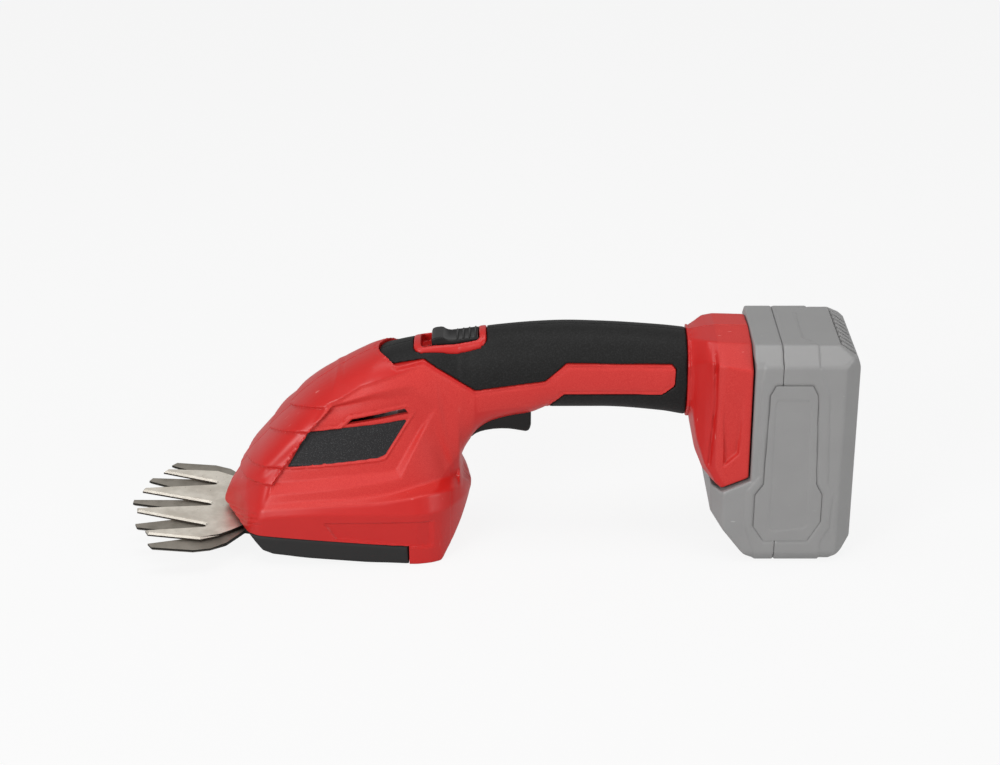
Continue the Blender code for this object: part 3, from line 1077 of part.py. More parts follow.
# Cells in two holder plates
CELL_COLUMNS = (BATTERY_REAR - 17.9 - CELL_PITCH, BATTERY_REAR - 17.9)
CELL_FLOOR = 16.5
rows = 1 + int((BATTERY_TOP - CELL_FLOOR - 20.0) / CELL_PITCH)
cell_spots = [(x, CELL_FLOOR + CELL_PITCH * i) for x in CELL_COLUMNS for i in range(rows)]
cell_mesh = rod_mesh("cell", CELL_RADIUS, -CELL_LENGTH / 2, CELL_LENGTH / 2, across=True)
for i, (x, z) in enumerate(cell_spots):
    add("cell_%d" % (i + 1), cell_mesh, CELL_BLUE, at=(x, 0, z))
holder_holes = [circle((CELL_RADIUS + GAP + 0.1) / math.cos(math.pi / 8), 8, spot, math.pi / 8)
                for spot in cell_spots]
holder_front = RECEIVER_BACK + WALL + 3 * GAP
holder_side = [(holder_front, BATTERY_TOP - 3.1), (BATTERY_REAR - 23.7, BATTERY_TOP - 3.1),
               (BATTERY_REAR - 3.5, BATTERY_TOP - 17.9), (BATTERY_REAR - 3.0, 14.0), (BATTERY_REAR - 7.5, 7.6),
               (BATTERY_REAR - 13.3, 3.0), (holder_front + 3.7, 3.0), (holder_front, 8.0)]
add("cell_holder", plate_mesh("cell_holder", [holder_side] + holder_holes, -4.0, 4.0, True), BLACK)

# The origin goes to the middle of the overall box
tip_x = head_axes.matrix_world @ (Vector((-BLADE_REACH, 0, 0)) * MM)
tool_frame.location.x = -(tip_x.x + BATTERY_REAR * MM) / 2
bpy.context.view_layer.update()

for piece in parts.objects:
    if piece.type == "MESH":
        flatten(piece.data)
        smooth(piece.data, 22.0)
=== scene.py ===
import json
import math

import bmesh
import bpy
import numpy as np
from mathutils import Matrix, Vector


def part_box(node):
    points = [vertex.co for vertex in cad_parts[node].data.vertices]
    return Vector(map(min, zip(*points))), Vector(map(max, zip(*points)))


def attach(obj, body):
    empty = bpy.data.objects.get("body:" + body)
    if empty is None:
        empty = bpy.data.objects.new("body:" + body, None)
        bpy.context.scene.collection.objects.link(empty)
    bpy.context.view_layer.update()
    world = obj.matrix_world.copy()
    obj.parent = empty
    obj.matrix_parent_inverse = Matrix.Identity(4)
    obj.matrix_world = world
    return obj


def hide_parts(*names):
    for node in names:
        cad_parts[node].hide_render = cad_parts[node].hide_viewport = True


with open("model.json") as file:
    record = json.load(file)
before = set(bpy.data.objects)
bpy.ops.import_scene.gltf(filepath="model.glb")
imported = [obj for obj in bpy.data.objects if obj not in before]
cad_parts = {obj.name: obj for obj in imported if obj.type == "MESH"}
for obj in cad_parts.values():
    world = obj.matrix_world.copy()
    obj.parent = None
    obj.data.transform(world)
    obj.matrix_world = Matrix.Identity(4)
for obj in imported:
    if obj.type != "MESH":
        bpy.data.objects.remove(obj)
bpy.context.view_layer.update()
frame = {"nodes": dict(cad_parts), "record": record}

# ---------------------------------------------------------------- stage
# A white studio: pale floor, one soft lamp above and two at the sides, and the camera at the
# photograph's place, 1.16 m away and 24 degrees above the level. All sizes here are in millimetres.
MM = 0.001
REAR = 186.5                                  # the battery's rear face, from the tool's own axes
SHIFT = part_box("battery_rear_case")[1].x / MM - REAR
CAMERA_PITCH = math.radians(24.0)
camera_data = bpy.data.cameras.new("camera")
camera = bpy.data.objects.new("camera", camera_data)
bpy.context.scene.collection.objects.link(camera)
camera.location = Vector((SHIFT, -1050.6, 555.9)) * MM
camera.rotation_euler = (math.pi / 2 - CAMERA_PITCH, 0.0, 0.0)
camera_data.sensor_width = 36.0
camera_data.lens = 78.12
camera_data.clip_end = 20.0
bpy.context.scene.camera = camera
bpy.context.scene.view_settings.view_transform = "Standard"


class Value:
    """A shader socket that Python's operators turn into Math nodes."""

    def __init__(self, finish, socket):
        self.finish = finish
        self.socket = socket

    def math(self, operation, *terms):
        return self.finish.value("ShaderNodeMath", {"operation": operation}, dict(enumerate(terms)))

    def __add__(self, other):
        return self.math("ADD", self, other)

    def __mul__(self, other):
        return self.math("MULTIPLY", self, other)

    def at_most(self, other):
        return self.math("MINIMUM", self, other)

    __radd__ = __add__
    __rmul__ = __mul__


class Finish:
    """A material whose nodes feed one Principled shader."""

    def __init__(self, name):
        self.material = bpy.data.materials.new(name)
        self.material.use_nodes = True
        self.tree = self.material.node_tree
        self.shader = self.tree.nodes["Principled BSDF"]
        self.place = self.value("ShaderNodeTexCoord", output="Object")

    def feed(self, socket, value):
        """Give a socket a value, a number or a linear colour."""
        if isinstance(value, Value):
            self.tree.links.new(value.socket, socket)
        else:
            socket.default_value = (*value, 1.0) if socket.type == "RGBA" else value

    def node(self, kind, settings=None, inputs=None):
        made = self.tree.nodes.new(kind)
        for key, value in (settings or {}).items():
            setattr(made, key, value)
        for key, value in (inputs or {}).items():
            self.feed(made.inputs[key], value)
        return made

    def value(self, kind, settings=None, inputs=None, output=0):
        """One output of a new node."""
        return Value(self, self.node(kind, settings, inputs).outputs[output])

    def noise(self, size, detail=2.0, stretch=None, rough=0.5):
        """Noise with grains of a size in millimetres, from about 0 to 1."""
        place = self.place
        if stretch:
            place = self.value("ShaderNodeMapping", None, {"Vector": place, "Scale": stretch})
        return self.value("ShaderNodeTexNoise", None, {"Vector": place, "Scale": 1.0 / (size * MM),
                                                       "Detail": detail, "Roughness": rough}, "Fac")

    def ramp(self, value, low, high):
        """0 below low, 1 above high."""
        return self.value("ShaderNodeMapRange", {"interpolation_type": "SMOOTHSTEP"},
                          {"Value": value, "From Min": low, "From Max": high})

    def mix(self, share, one, two):
        """A colour between two, which are linear triples or colour values."""
        return self.value("ShaderNodeMix", {"data_type": "RGBA"}, {0: share, 6: one, 7: two}, 2)

    def bump(self, height, depth):
        """A normal from a height of 0 to 1 that stands for a depth in millimetres."""
        return self.value("ShaderNodeBump", None, {"Height": height, "Distance": depth * MM})

    def set(self, **inputs):
        for key, value in inputs.items():
            self.feed(self.shader.inputs[key.replace("_", " ")], value)
        return self.material


def put(name, mesh):
    made = bpy.data.objects.new(name, mesh)
    bpy.context.scene.collection.objects.link(made)
    return made


def floor_finish():
    """A matt floor that glows to the camera alone, and a little in what mirrors it."""
    finish = Finish("studio floor")
    grain = finish.noise(400.0)
    finish.set(Base_Color=finish.mix(grain, (0.66, 0.66, 0.66), (0.68, 0.68, 0.68)), Roughness=0.9)
    rays = finish.node("ShaderNodeLightPath").outputs
    seen, mirrored, through = (Value(finish, rays["Is %s Ray" % kind])
                               for kind in ("Camera", "Glossy", "Transmission"))
    glow = finish.node("ShaderNodeEmission", None, {"Color": (1, 1, 1), "Strength": 1.0})
    both = finish.node("ShaderNodeMixShader", None,
                       {0: (seen + mirrored * 0.4 + through).at_most(1.0) * 0.88})
    for start, end in ((finish.shader.outputs[0], both.inputs[1]), (glow.outputs[0], both.inputs[2]),
                       (both.outputs[0], finish.tree.nodes["Material Output"].inputs["Surface"])):
        finish.tree.links.new(start, end)
    return finish.material


floor_mesh = bpy.data.meshes.new("floor")
floor_mesh.from_pydata([(-6, -6, 0), (6, -6, 0), (6, 6, 0), (-6, 6, 0)], [], [(0, 1, 2, 3)])
floor = put("floor", floor_mesh)
floor_mesh.materials.append(floor_finish())

world = bpy.data.worlds.new("studio")
bpy.context.scene.world = world
world.use_nodes = True
sky = world.node_tree.nodes
backdrop = sky["Background"]
backdrop.inputs["Color"].default_value = (1, 1, 1, 1)
# The backdrop is white to the camera, darker in mirror images and darkest as a light on the tool
rays = sky.new("ShaderNodeLightPath").outputs
glossy, clear, level = sky.new("ShaderNodeMath"), sky.new("ShaderNodeMath"), sky.new("ShaderNodeMapRange")
glossy.operation = "MULTIPLY_ADD"
glossy.inputs[1].default_value = 0.42
level.inputs["To Min"].default_value = 0.27
for start, end in ((rays["Is Glossy Ray"], glossy.inputs[0]), (rays["Is Camera Ray"], glossy.inputs[2]),
                   (glossy.outputs[0], clear.inputs[0]), (rays["Is Transmission Ray"], clear.inputs[1]),
                   (clear.outputs[0], level.inputs["Value"]),
                   (level.outputs[0], backdrop.inputs["Strength"])):
    world.node_tree.links.new(start, end)

# Name, place, aim and size in metres, and power in watts
LAMPS = (("lamp above", (0.0, -0.10, 1.1), (0, 0, 0.05), (1.1, 0.5), 5.0),
         ("lamp left", (-0.8, -1.1, 0.62), (0, 0, 0.06), (0.6, 0.6), 11.5),
         ("lamp right", (1.2, -0.9, 0.5), (0.05, 0, 0.06), (0.6, 0.6), 6.0))
for lamp_name, place, aim, size, power in LAMPS:
    lamp_data = bpy.data.lights.new(lamp_name, "AREA")
    lamp_data.shape = "RECTANGLE"
    lamp_data.size, lamp_data.size_y = size
    lamp_data.energy = power
    lamp = put(lamp_name, lamp_data)
    lamp.location = place
    lamp.rotation_euler = (Vector(aim) - Vector(place)).to_track_quat("-Z", "Y").to_euler()

# ---------------------------------------------------------------- housing halves
# Two injection-moulded shells of red plastic, screwed together along the middle plane: the domed
# head with its overlapping nose plates and sunk side panel, the neck and handle core, and the
# faceted receiver for the battery. The left shell is modelled and the right one mirrors it.
WALL = 2.4
GAP = 0.3
HEAD_X, HEAD_Z, HEAD_TILT = -115.8, 11.3, math.radians(4.2)
HEEL_FRONT = -47.9
SHOE_TOP = 4.8
GRIP_SKIN = 1.8


def rail(*points):
    """A value along X on a smooth line without overshoot through (x, value) points."""
    x, v = np.array(points, float).T
    gap = np.diff(x)
    slope = np.diff(v) / gap
    lean = np.zeros(len(x))
    one, two = 2 * gap[1:] + gap[:-1], gap[1:] + 2 * gap[:-1]
    with np.errstate(divide="ignore", invalid="ignore"):
        middle = (one + two) / (one / slope[:-1] + two / slope[1:])
    lean[1:-1] = np.where(slope[:-1] * slope[1:] > 0, middle, 0.0)
    lean[0], lean[-1] = slope[0], slope[-1]

    def at(place):
        place = np.clip(place, x[0], x[-1])
        i = np.clip(np.searchsorted(x, place) - 1, 0, len(gap) - 1)
        t = (place - x[i]) / gap[i]
        return (v[i] * (1 + 2 * t) * (1 - t) ** 2 + v[i + 1] * t * t * (3 - 2 * t)
                + gap[i] * (lean[i] * t * (1 - t) ** 2 - lean[i + 1] * t * t * (1 - t)))

    return at


# Height and half-width of the head's rows along X, from its flat underside to the top of the dome
head_bottom = rail(
    (-149, 18.5), (-142, 16.5), (-134, 9), (-126, 7), (-48, 0), (-31.8, 0), (-28, 5), (-23.8, 11.5),
    (-19, 20.5), (-16.6, 26.5), (-15.6, 29))
head_rim = rail(
    (-149, 1.5), (-142, 15), (-137, 26), (-132, 35), (-125, 38), (-45, 39.5), (-38, 38.3), (-31.8, 35.5),
    (-27, 30), (-23, 23), (-19.4, 15), (-17, 8), (-15.6, 2.5))
belt_height = rail(
    (-149, 19.2), (-142, 19), (-134, 22), (-123, 28), (-90, 30.5), (-30, 30.8), (-22, 31), (-15.6, 29.6))
belt_half = rail(
    (-149, 2), (-142, 17), (-137, 28), (-132, 37), (-125, 40.5), (-90, 42), (-45, 42.3), (-38, 41),
    (-32, 37.8), (-26, 32), (-21.5, 24.5), (-18, 16), (-16.4, 9), (-15.6, 3.5))
ledge_height = rail(
    (-149, 20), (-142, 22), (-134, 27), (-123.6, 31.8), (-62.5, 36.9), (-36, 40.4), (-26, 39.6), (-20, 35.5),
    (-15.6, 30.6))
ledge_half = rail(
    (-149, 2), (-142, 16), (-137, 26.5), (-132, 35), (-123.6, 39.4), (-62, 40.6), (-45, 39.6), (-38, 37.8),
    (-32, 34.6), (-26, 29), (-21.5, 22), (-18, 14.5), (-16.4, 8), (-15.6, 3))
neck_height = rail(
    (-149, 20.6), (-142, 24), (-134, 30), (-123.6, 34.5), (-62.5, 39), (-36, 42), (-26, 41), (-21, 38),
    (-15.6, 31))
neck_half = rail(
    (-149, 1.8), (-142, 15), (-137, 25), (-132, 32), (-123.6, 37.5), (-90, 37.5), (-62, 35), (-45, 30),
    (-36, 25.5), (-26, 17), (-20, 10), (-15.6, 2.5))
shoulder_height = rail(
    (-149, 21), (-142, 29), (-134, 38), (-123, 48), (-111, 60), (-100, 68), (-80, 77), (-62, 82), (-48, 84),
    (-38, 76), (-28, 50), (-22, 38.6), (-15.6, 31))
shoulder_half = rail(
    (-149, 1.4), (-142, 11), (-134, 24), (-123, 31), (-111, 31.5), (-100, 31), (-80, 29), (-62, 27),
    (-48, 23.5), (-38, 20), (-28, 15), (-20, 7), (-15.6, 2))
head_top = rail(
    (-149, 21.5), (-147, 26.5), (-140, 41), (-134, 50.5), (-128, 58), (-122, 65.5), (-117, 71.5),
    (-111, 77.8), (-106, 82.8), (-95, 91.8), (-84, 98.6), (-73.7, 103.6), (-63, 107.8), (-52, 110.5),
    (-42, 108), (-34, 92), (-27, 58), (-21.9, 39.6), (-15.6, 31.3))
HEAD_FRONT, HEAD_REAR = -149.0, -15.6


def head_outline(x):
    """Half of the head's section at x, as (half-width, height) from the bottom middle to the top."""
    low, top = head_bottom(x), head_top(x)
    line = [(0.0, low), (head_rim(x), low),
            (belt_half(x), max(belt_height(x), low + 0.3)),
            (ledge_half(x), max(ledge_height(x), low + 0.6)),
            (neck_half(x), max(neck_height(x), low + 0.9))]
    wide, rise = shoulder_half(x), min(shoulder_height(x), top - 0.2)
    for i in range(12):
        a = math.pi / 2 * i / 12
        line.append((wide * math.cos(a) ** 0.85, rise + (top - rise) * math.sin(a) ** 0.9))
    return np.array(line + [(0.0, top)])


RECEIVER_RINGS = (
    (95.5, ((0, 75.5), (9, 75.5), (19.6, 84), (19.4, 106), (10.5, 116.6), (0, 119.0))),
    (100.0, ((0, 73.0), (10, 73.0), (20.6, 83), (20.2, 107), (11.0, 117.6), (0, 119.2))),
    (102.4, ((0, 58.0), (16, 58.0), (24.6, 69), (22.6, 108.6), (13.2, 118.3), (0, 119.6))),
    (106.8, ((0, 48.5), (22, 48.5), (30.2, 56), (26.8, 112), (18.0, 119.6), (0, 120.6))),
    (112.5, ((0, 44.4), (31.0, 44.4), (33.5, 46.8), (33.2, 112.6), (20.0, 119.8), (0, 121.3))),
    (116.0, ((0, 42.4), (33.5, 42.4), (34.6, 43.4), (34.6, 112.2), (20.3, 119.6), (0, 121.3))),
    (130.0, ((0, 48.6), (34.0, 48.6), (35.0, 49.6), (35.0, 109.8), (20.5, 119.2), (0, 121.1))),
)
ring_x = [ring[0] for ring in RECEIVER_RINGS]
ring_points = np.array([ring[1] for ring in RECEIVER_RINGS], float)


def receiver_outline(x):
    return np.array([[np.interp(x, ring_x, ring_points[:, i, k]) for k in (0, 1)]
                     for i in range(ring_points.shape[1])])


# The handle's upper and lower line and its half-width, and how square its section is
handle_top = rail(
    (-82, 95), (-73, 102), (-66, 106.3), (-60, 108.7), (-45, 112.8), (-20, 117.4), (0, 120.3), (20, 121.9),
    (35, 122.35), (55, 121.8), (75, 120.6), (100, 117.8), (114, 114))
handle_belly = rail(
    (-82, 89), (-66, 86), (-60, 80), (-40, 62), (-30, 46), (-25, 38), (-22, 39), (-20.5, 47.5), (-16.5, 56),
    (-11.5, 63), (-4, 68), (6, 71), (16, 73), (26, 76.6), (53, 76.7), (85, 74.3), (101, 72), (114, 86))
handle_half = rail(
    (-82, 10), (-73, 16), (-66, 19), (-60, 20), (-40, 21), (-24, 19), (-16, 17.5), (0, 17.8), (20, 18.6),
    (40, 19), (75, 18.6), (100, 19.4), (114, 17))
FULLNESS = 2.3
HANDLE_FRONT, HANDLE_REAR = -82.0, 114.0


def outline_gap(y, z, outline):
    """Signed distance of points to a closed outline, negative inside."""
    start = np.asarray(outline, float)
    best = np.full(np.broadcast(y, z).shape, 1e9)
    odd = np.zeros(best.shape, bool)
    for (ay, az), (by, bz) in zip(start, np.roll(start, -1, axis=0)):
        ey, ez = by - ay, bz - az
        t = np.clip(((y - ay) * ey + (z - az) * ez) / max(ey * ey + ez * ez, 1e-12), 0, 1)
        best = np.minimum(best, (y - ay - t * ey) ** 2 + (z - az - t * ez) ** 2)
        if abs(ez) > 1e-12:
            odd ^= ((az > z) != (bz > z)) & (y < ey * (z - az) / ez + ay)
    best = np.sqrt(best)
    return np.where(odd, -best, best)


def true_length(gap, x, y, z):
    """Scale a field so that it grows by one for each millimetre near its surface."""
    steep = np.sqrt(sum(g * g for g in np.gradient(gap, x.ravel(), y.ravel(), z.ravel())))
    return gap / np.clip(steep, 0.6, 3.0)


def sweep_gap(x, y, z, outline_at, front, rear):
    """Signed distance to a body whose half section at x is given, closed at both ends and softened."""
    gap = np.empty(np.broadcast(x, y, z).shape, np.float32)
    for i, here in enumerate(x.ravel()):
        half = outline_at(min(max(here, front), rear))
        line = [(-a, b) for a, b in half[-2:0:-1]]
        gap[i] = outline_gap(np.abs(y[0]), z[0], list(half) + line)
    gap = true_length(np.maximum(gap, np.maximum(front - x, x - rear)), x, y, z)
    for axis in range(3):
        padded = np.concatenate([gap.take([0], axis), gap, gap.take([-1], axis)], axis)
        count = gap.shape[axis]
        gap = (padded.take(range(count), axis) + 2 * gap + padded.take(range(2, count + 2), axis)) / 4
    return gap


def handle_gap(x, y, z):
    """Signed distance to the handle, whose section lies between an oval and a rectangle."""
    top, belly, half = handle_top(x), handle_belly(x), handle_half(x)
    tall = (top - belly) / 2
    across = np.abs(y / half) ** FULLNESS + np.abs((z - (top + belly) / 2) / tall) ** FULLNESS
    gap = true_length((across ** (1 / FULLNESS) - 1.0) * np.minimum(half, tall), x, y, z)
    return np.maximum(gap, np.maximum(HANDLE_FRONT - x, x - HANDLE_REAR))


def blend(one, two, round_by):
    """Both bodies, joined with a fillet."""
    share = np.clip(0.5 + 0.5 * (two - one) / round_by, 0, 1)
    return two * (1 - share) + one * share - round_by * share * (1 - share)


def common(body, *others):
    """The common space of bodies, with sharp edges."""
    for other in others:
        body = np.maximum(body, other)
    return body


def less(body, *others):
    """The first body without the others."""
    return common(body, *[-other for other in others])


def rod(a, b, radius):
    """Signed distance to a round rod."""
    return np.sqrt(a ** 2 + b ** 2) - radius


def ease(value, low, high):
    """0 below low and 1 above high, smoothly."""
    t = np.clip((value - low) / (high - low), 0, 1)
    return t * t * (3 - 2 * t)


def notch(value, half):
    """1 on a line, falling to 0 at half a width to each side."""
    return np.clip(1 - np.abs(value) / half, 0, 1)


def settle(gap):
    """Fill the cells that meet others only across a diagonal, so that no edge of the skin is pinched."""
    for _ in range(3):
        for one, two in ((0, 1), (0, 2), (1, 2)):
            view = np.moveaxis(gap, (one, two), (0, 1))
            a, b, c, d = view[:-1, :-1], view[1:, :-1], view[:-1, 1:], view[1:, 1:]
            b[(a < 0) & (d < 0) & (b >= 0) & (c >= 0)] = -0.02
            a[(b < 0) & (c < 0) & (a >= 0) & (d >= 0)] = -0.02
    return gap


def skin(name, x, y, z, gap):
    """The closed surface on which a field is zero, with one point in each cell that it passes."""
    inside = settle(gap) < 0
    ends = slice(None, -1), slice(1, None)
    filled = np.sum([inside[i, j, k] for i in ends for j in ends for k in ends], axis=0, dtype=np.uint8)
    cells = np.argwhere((filled > 0) & (filled < 8))
    number = np.full(filled.shape, -1, np.int32)
    number[tuple(cells.T)] = np.arange(len(cells))
    lines = (x.ravel(), y.ravel(), z.ravel())
    total, hits = np.zeros((len(cells), 3)), np.zeros(len(cells))
    quads = []
    for axis in range(3):
        one, two = [a for a in range(3) if a != axis]
        # Each point is the mean of the places at which its cell's edges cross the surface
        for j, k in ((0, 0), (0, 1), (1, 0), (1, 1)):
            start = cells.copy()
            start[:, one] += j
            start[:, two] += k
            end = start.copy()
            end[:, axis] += 1
            a, b = gap[tuple(start.T)], gap[tuple(end.T)]
            cut = (a < 0) != (b < 0)
            share = np.where(cut, a / np.where(cut, a - b, 1.0), 0.0)
            for c in range(3):
                low, high = lines[c][start[:, c]], lines[c][end[:, c]]
                total[:, c] += np.where(cut, low + share * (high - low), 0.0)
            hits += cut
        # Each face joins the four cells round an edge that crosses the surface
        first = inside.take(range(inside.shape[axis] - 1), axis)
        second = inside.take(range(1, inside.shape[axis]), axis)
        for turned, crossing in ((False, first & ~second), (True, second & ~first)):
            at = np.argwhere(crossing)
            at = at[(at[:, one] > 0) & (at[:, two] > 0)
                    & (at[:, one] < number.shape[one]) & (at[:, two] < number.shape[two])]
            ring = []
            for j, k in ((1, 1), (0, 1), (0, 0), (1, 0)):
                cell = at.copy()
                cell[:, one] -= j
                cell[:, two] -= k
                ring.append(number[tuple(cell.T)])
            if turned != (axis == 1):
                ring.reverse()
            quads.append(np.stack(ring, axis=1))
    points = total / hits[:, None]
    quads = np.concatenate(quads)
    mesh = bpy.data.meshes.new(name)
    mesh.vertices.add(len(points))
    mesh.vertices.foreach_set("co", ((points + (SHIFT, 0, 0)) * MM).astype(np.float32).ravel())
    mesh.loops.add(quads.size)
    mesh.loops.foreach_set("vertex_index", quads.ravel().astype(np.int32))
    mesh.polygons.add(len(quads))
    mesh.polygons.foreach_set("loop_start", np.arange(0, quads.size, 4, dtype=np.int32))
    mesh.update(calc_edges=True)
    mesh.validate()
    return mesh


def grid(*axes):
    """Places along X, Y and Z: for each axis a start, a step and an end, or more steps and stops."""
    lines = []
    for line in axes:
        stops = line[::2]
        spans = zip(stops, line[1::2], stops[1:])
        parts = [np.arange(low, high - step / 4, step) for low, step, high in spans]
        lines.append(np.concatenate(parts + [stops[-1:]]))
    return np.ix_(*lines)


# The side panel, its walls, the plate for a label and the frame round it, as seen from the side
PANEL = [
    (-89.2, 83.5), (-67.6, 88.2), (-46.8, 90.6), (-36.5, 80.0), (-45.8, 64.8), (-55.0, 50.3), (-83.1, 48.3),
    (-109.3, 45.5), (-119.5, 43.8), (-113.1, 53.6), (-98.9, 73.6)]
WALL_LINE = [
    (-87.5, 85.8), (-66.6, 92.3), (-47.0, 96.4), (-43.0, 94.8), (-33.0, 82.6), (-43.2, 64.2), (-52.2, 46.6),
    (-96.8, 41.6), (-121.4, 39.2), (-119.8, 43.8), (-113.1, 53.6), (-98.9, 73.6)]
FRAME = [
    (-99.6, 73.3), (-84.1, 74.7), (-78.6, 80.0), (-48.0, 85.6), (-43.6, 80.4), (-59.4, 56.4), (-62.4, 55.4),
    (-114.6, 51.4)]
LABEL = [(-100.4, 72.4), (-47.7, 77.0), (-60.0, 58.6), (-64.0, 57.0), (-111.7, 52.7)]
VENT = [(-80.3, 75.4), (-77.1, 78.4), (-49.7, 83.0), (-47.7, 80.0)]
SHOE = [(-92.1, 25.2), (-35.0, 26.2), (-35.0, 10.6), (-41, 10.6), (-86.3, 15.6)]
NOSE_LINE = [
    (-60, 160), (-89.2, 86.5), (-98.9, 73.6), (-113.1, 53.6), (-119.5, 43.8), (-124.3, 31.5), (-127, 20),
    (-130, -20), (-200, -20), (-200, 160)]
PLATE_EDGES = ((75.5, 0.37), (62.0, 0.365), (46.5, 0.21), (40.2, 0.11), (30.5, 0.05))
PLATE_STEP = 1.6
PANEL_DEPTH = 3.5
RIDGE = [
    (-110.6, 77.1), (-100.9, 82.8), (-94.5, 85.6), (-84.2, 88.8), (-72, 96.1), (-61.3, 99.7), (-49.2, 103.2),
    (-40, 106)]
GROOVES = ((17.2, 0.32, -127.2), (13.8, 0.33, -125.8), (11.4, 0.32, -124.8))
RIDGE_STEP, FRAME_STEP, LABEL_POCKET, SHOE_DEPTH, LINE_DEPTH = 1.3, 0.8, 0.6, 1.4, 0.7


def head_relief(x, y, z):
    """How far the head's skin stands out from its plain form."""
    panel = outline_gap(x, z, PANEL)
    walls = np.maximum(-outline_gap(x, z, WALL_LINE), 0)
    relief = -PANEL_DEPTH * (walls / (walls + np.maximum(panel, 0) + 1e-6))
    # The dome ends in a soft ridge above the grained flank, and the belt stands under a crisp ledge
    below = np.interp(x, *np.array(RIDGE).T) - z
    relief -= RIDGE_STEP * ease(below, -0.4, 1.6) * (1 - ease(below, 3, 16)) * ease(x, -96, -84)
    frame_line = outline_gap(x, z, FRAME)
    relief += FRAME_STEP * ease(-frame_line, -0.4, 0.4) * (panel < 0.2)
    relief -= FRAME_STEP * ease(-frame_line, 1.3, 2.0) * (panel < 0)
    relief -= LABEL_POCKET * ease(-outline_gap(x, z, LABEL), -0.3, 0.3)
    relief -= SHOE_DEPTH * ease(-outline_gap(x, z, SHOE), -0.3, 0.4) * ease(-x, 34.5, 37.5)
    relief -= LINE_DEPTH * notch(frame_line, 0.7) * (panel < 0)
    # Overlapping plates of the nose: each is proud at its lower edge and tucked in at its upper one
    half = np.sqrt(y * y + 4.0)
    on_nose = ease(-outline_gap(x, z, NOSE_LINE), -1.0, 1.5)
    plates = 0.0
    for (a, b), (c, d) in zip(PLATE_EDGES, PLATE_EDGES[1:]):
        upper, lower = a + b * half, c + d * half
        here = ease(upper - z, -0.4, 0.5) * (z > lower)
        plates = plates - PLATE_STEP * here * np.clip((z - lower) / (upper - lower), 0, 1) ** 0.8
    relief = relief * (1 - on_nose) + plates * on_nose
    for low, lean, end in GROOVES:
        relief = relief - LINE_DEPTH * (notch(z - low - lean * half + 0.2, 0.7) * ease(end - x, 0, 2.0))
    return relief


def head_form(x, y, z):
    return sweep_gap(x, y, z, head_outline, HEAD_FRONT, HEAD_REAR) - head_relief(x, y, z)


# Where the soft grip lies, as seen from the side: between its ends, less the bare red insert
RED_INSERT = [
    (-70, 105.2), (-57.0, 105.2), (-52, 106.0), (-39.6, 108.1), (-12.8, 91.0), (23.4, 96.9), (34.5, 107.0),
    (89.8, 106.0), (91.8, 103.3), (91.2, 94.0), (84.7, 88.7), (33.6, 88.6), (27.5, 82.0), (24.5, 74.0),
    (24.5, -40), (-70, -40)]
GRIP_FRONT, GRIP_REAR, GRIP_BOW = -63.5, 97.4, 0.03


def grip_gap(x, y, z):
    """Signed distance to the space in which the grip lies, negative on the grip."""
    return common(x - GRIP_REAR, -outline_gap(x, z, RED_INSERT), GRIP_FRONT + GRIP_BOW * y ** 2 - x)


# The slider's own axes, whose first one rises to the rear along the top of the handle
SLIDER_X, SLIDER_Z, SLIDER_LEAN = -25.4, 117.0, math.radians(8.6)
BEZEL_FRONT, BEZEL_REAR, BEZEL_HALF, BEZEL_CORNER, BEZEL_FLOOR = -20.3, 18.2, 11.2, 4.2, -8.7


def slider_place(x, z):
    """Places along and above the slider's bed."""
    along = (x - SLIDER_X) * math.cos(SLIDER_LEAN) + (z - SLIDER_Z) * math.sin(SLIDER_LEAN)
    above = (z - SLIDER_Z) * math.cos(SLIDER_LEAN) - (x - SLIDER_X) * math.sin(SLIDER_LEAN)
    return along, above


def round_box(a, b, low, high, half, corner):
    """Signed distance to a rectangle with round corners, from low to high and half to each side."""
    da = np.abs(a - (low + high) / 2) - (high - low) / 2 + corner
    db = np.abs(b) - half + corner
    outside = np.sqrt(np.maximum(da, 0) ** 2 + np.maximum(db, 0) ** 2)
    return outside + np.minimum(np.maximum(da, db), 0) - corner


def bezel_gap(x, y, z, spare):
    """Signed distance to the slider frame's outer block, which stands in its seat with some spare."""
    along, above = slider_place(x, z)
    block = round_box(along, y, BEZEL_FRONT - spare, BEZEL_REAR + spare, BEZEL_HALF + spare,
                      BEZEL_CORNER + spare)
    return np.maximum(block, BEZEL_FLOOR - spare - above)


RECESS = [(114.4, 97.5), (126.2, 97.9), (124.4, 62.6), (116.6, 55.0)]
SLOT_Z, SLOT_X = (53, 71, 92, 117), (109.2, 110.4, 111.6, 110.6)
RECESS_DEPTH, RECESS_TOP, RECESS_LENGTH, SLOT_DEPTH = 2.4, 98, 34, 1.1
NECK_BLEND, RECEIVER_BLEND = 7.0, 3.0


def receiver_gap(x, y, z):
    """The receiver's plain form and the marks in its side: a deepening recess and an upright groove."""
    deeper = np.clip((RECESS_TOP - z) / RECESS_LENGTH, 0, 1)
    mark = RECESS_DEPTH * deeper * ease(-outline_gap(x, z, RECESS), -0.2, 1.0)
    slot = np.clip(1.3 - np.abs(x - np.interp(z, SLOT_Z, SLOT_X)) / 0.9, 0, 1)
    mark = mark + SLOT_DEPTH * slot * ease(z, 52, 56) * (1 - ease(z, 112, 118))
    return sweep_gap(x, y, z, receiver_outline, ring_x[0], ring_x[-1]) + mark


def housing_form(x, y, z):
    """The housing's outer form, and the handle's, as distances."""
    handle = handle_gap(x, y, z)
    neck = blend(head_form(x, y, z), handle, NECK_BLEND)
    return blend(neck, receiver_gap(x, y, z), RECEIVER_BLEND), handle


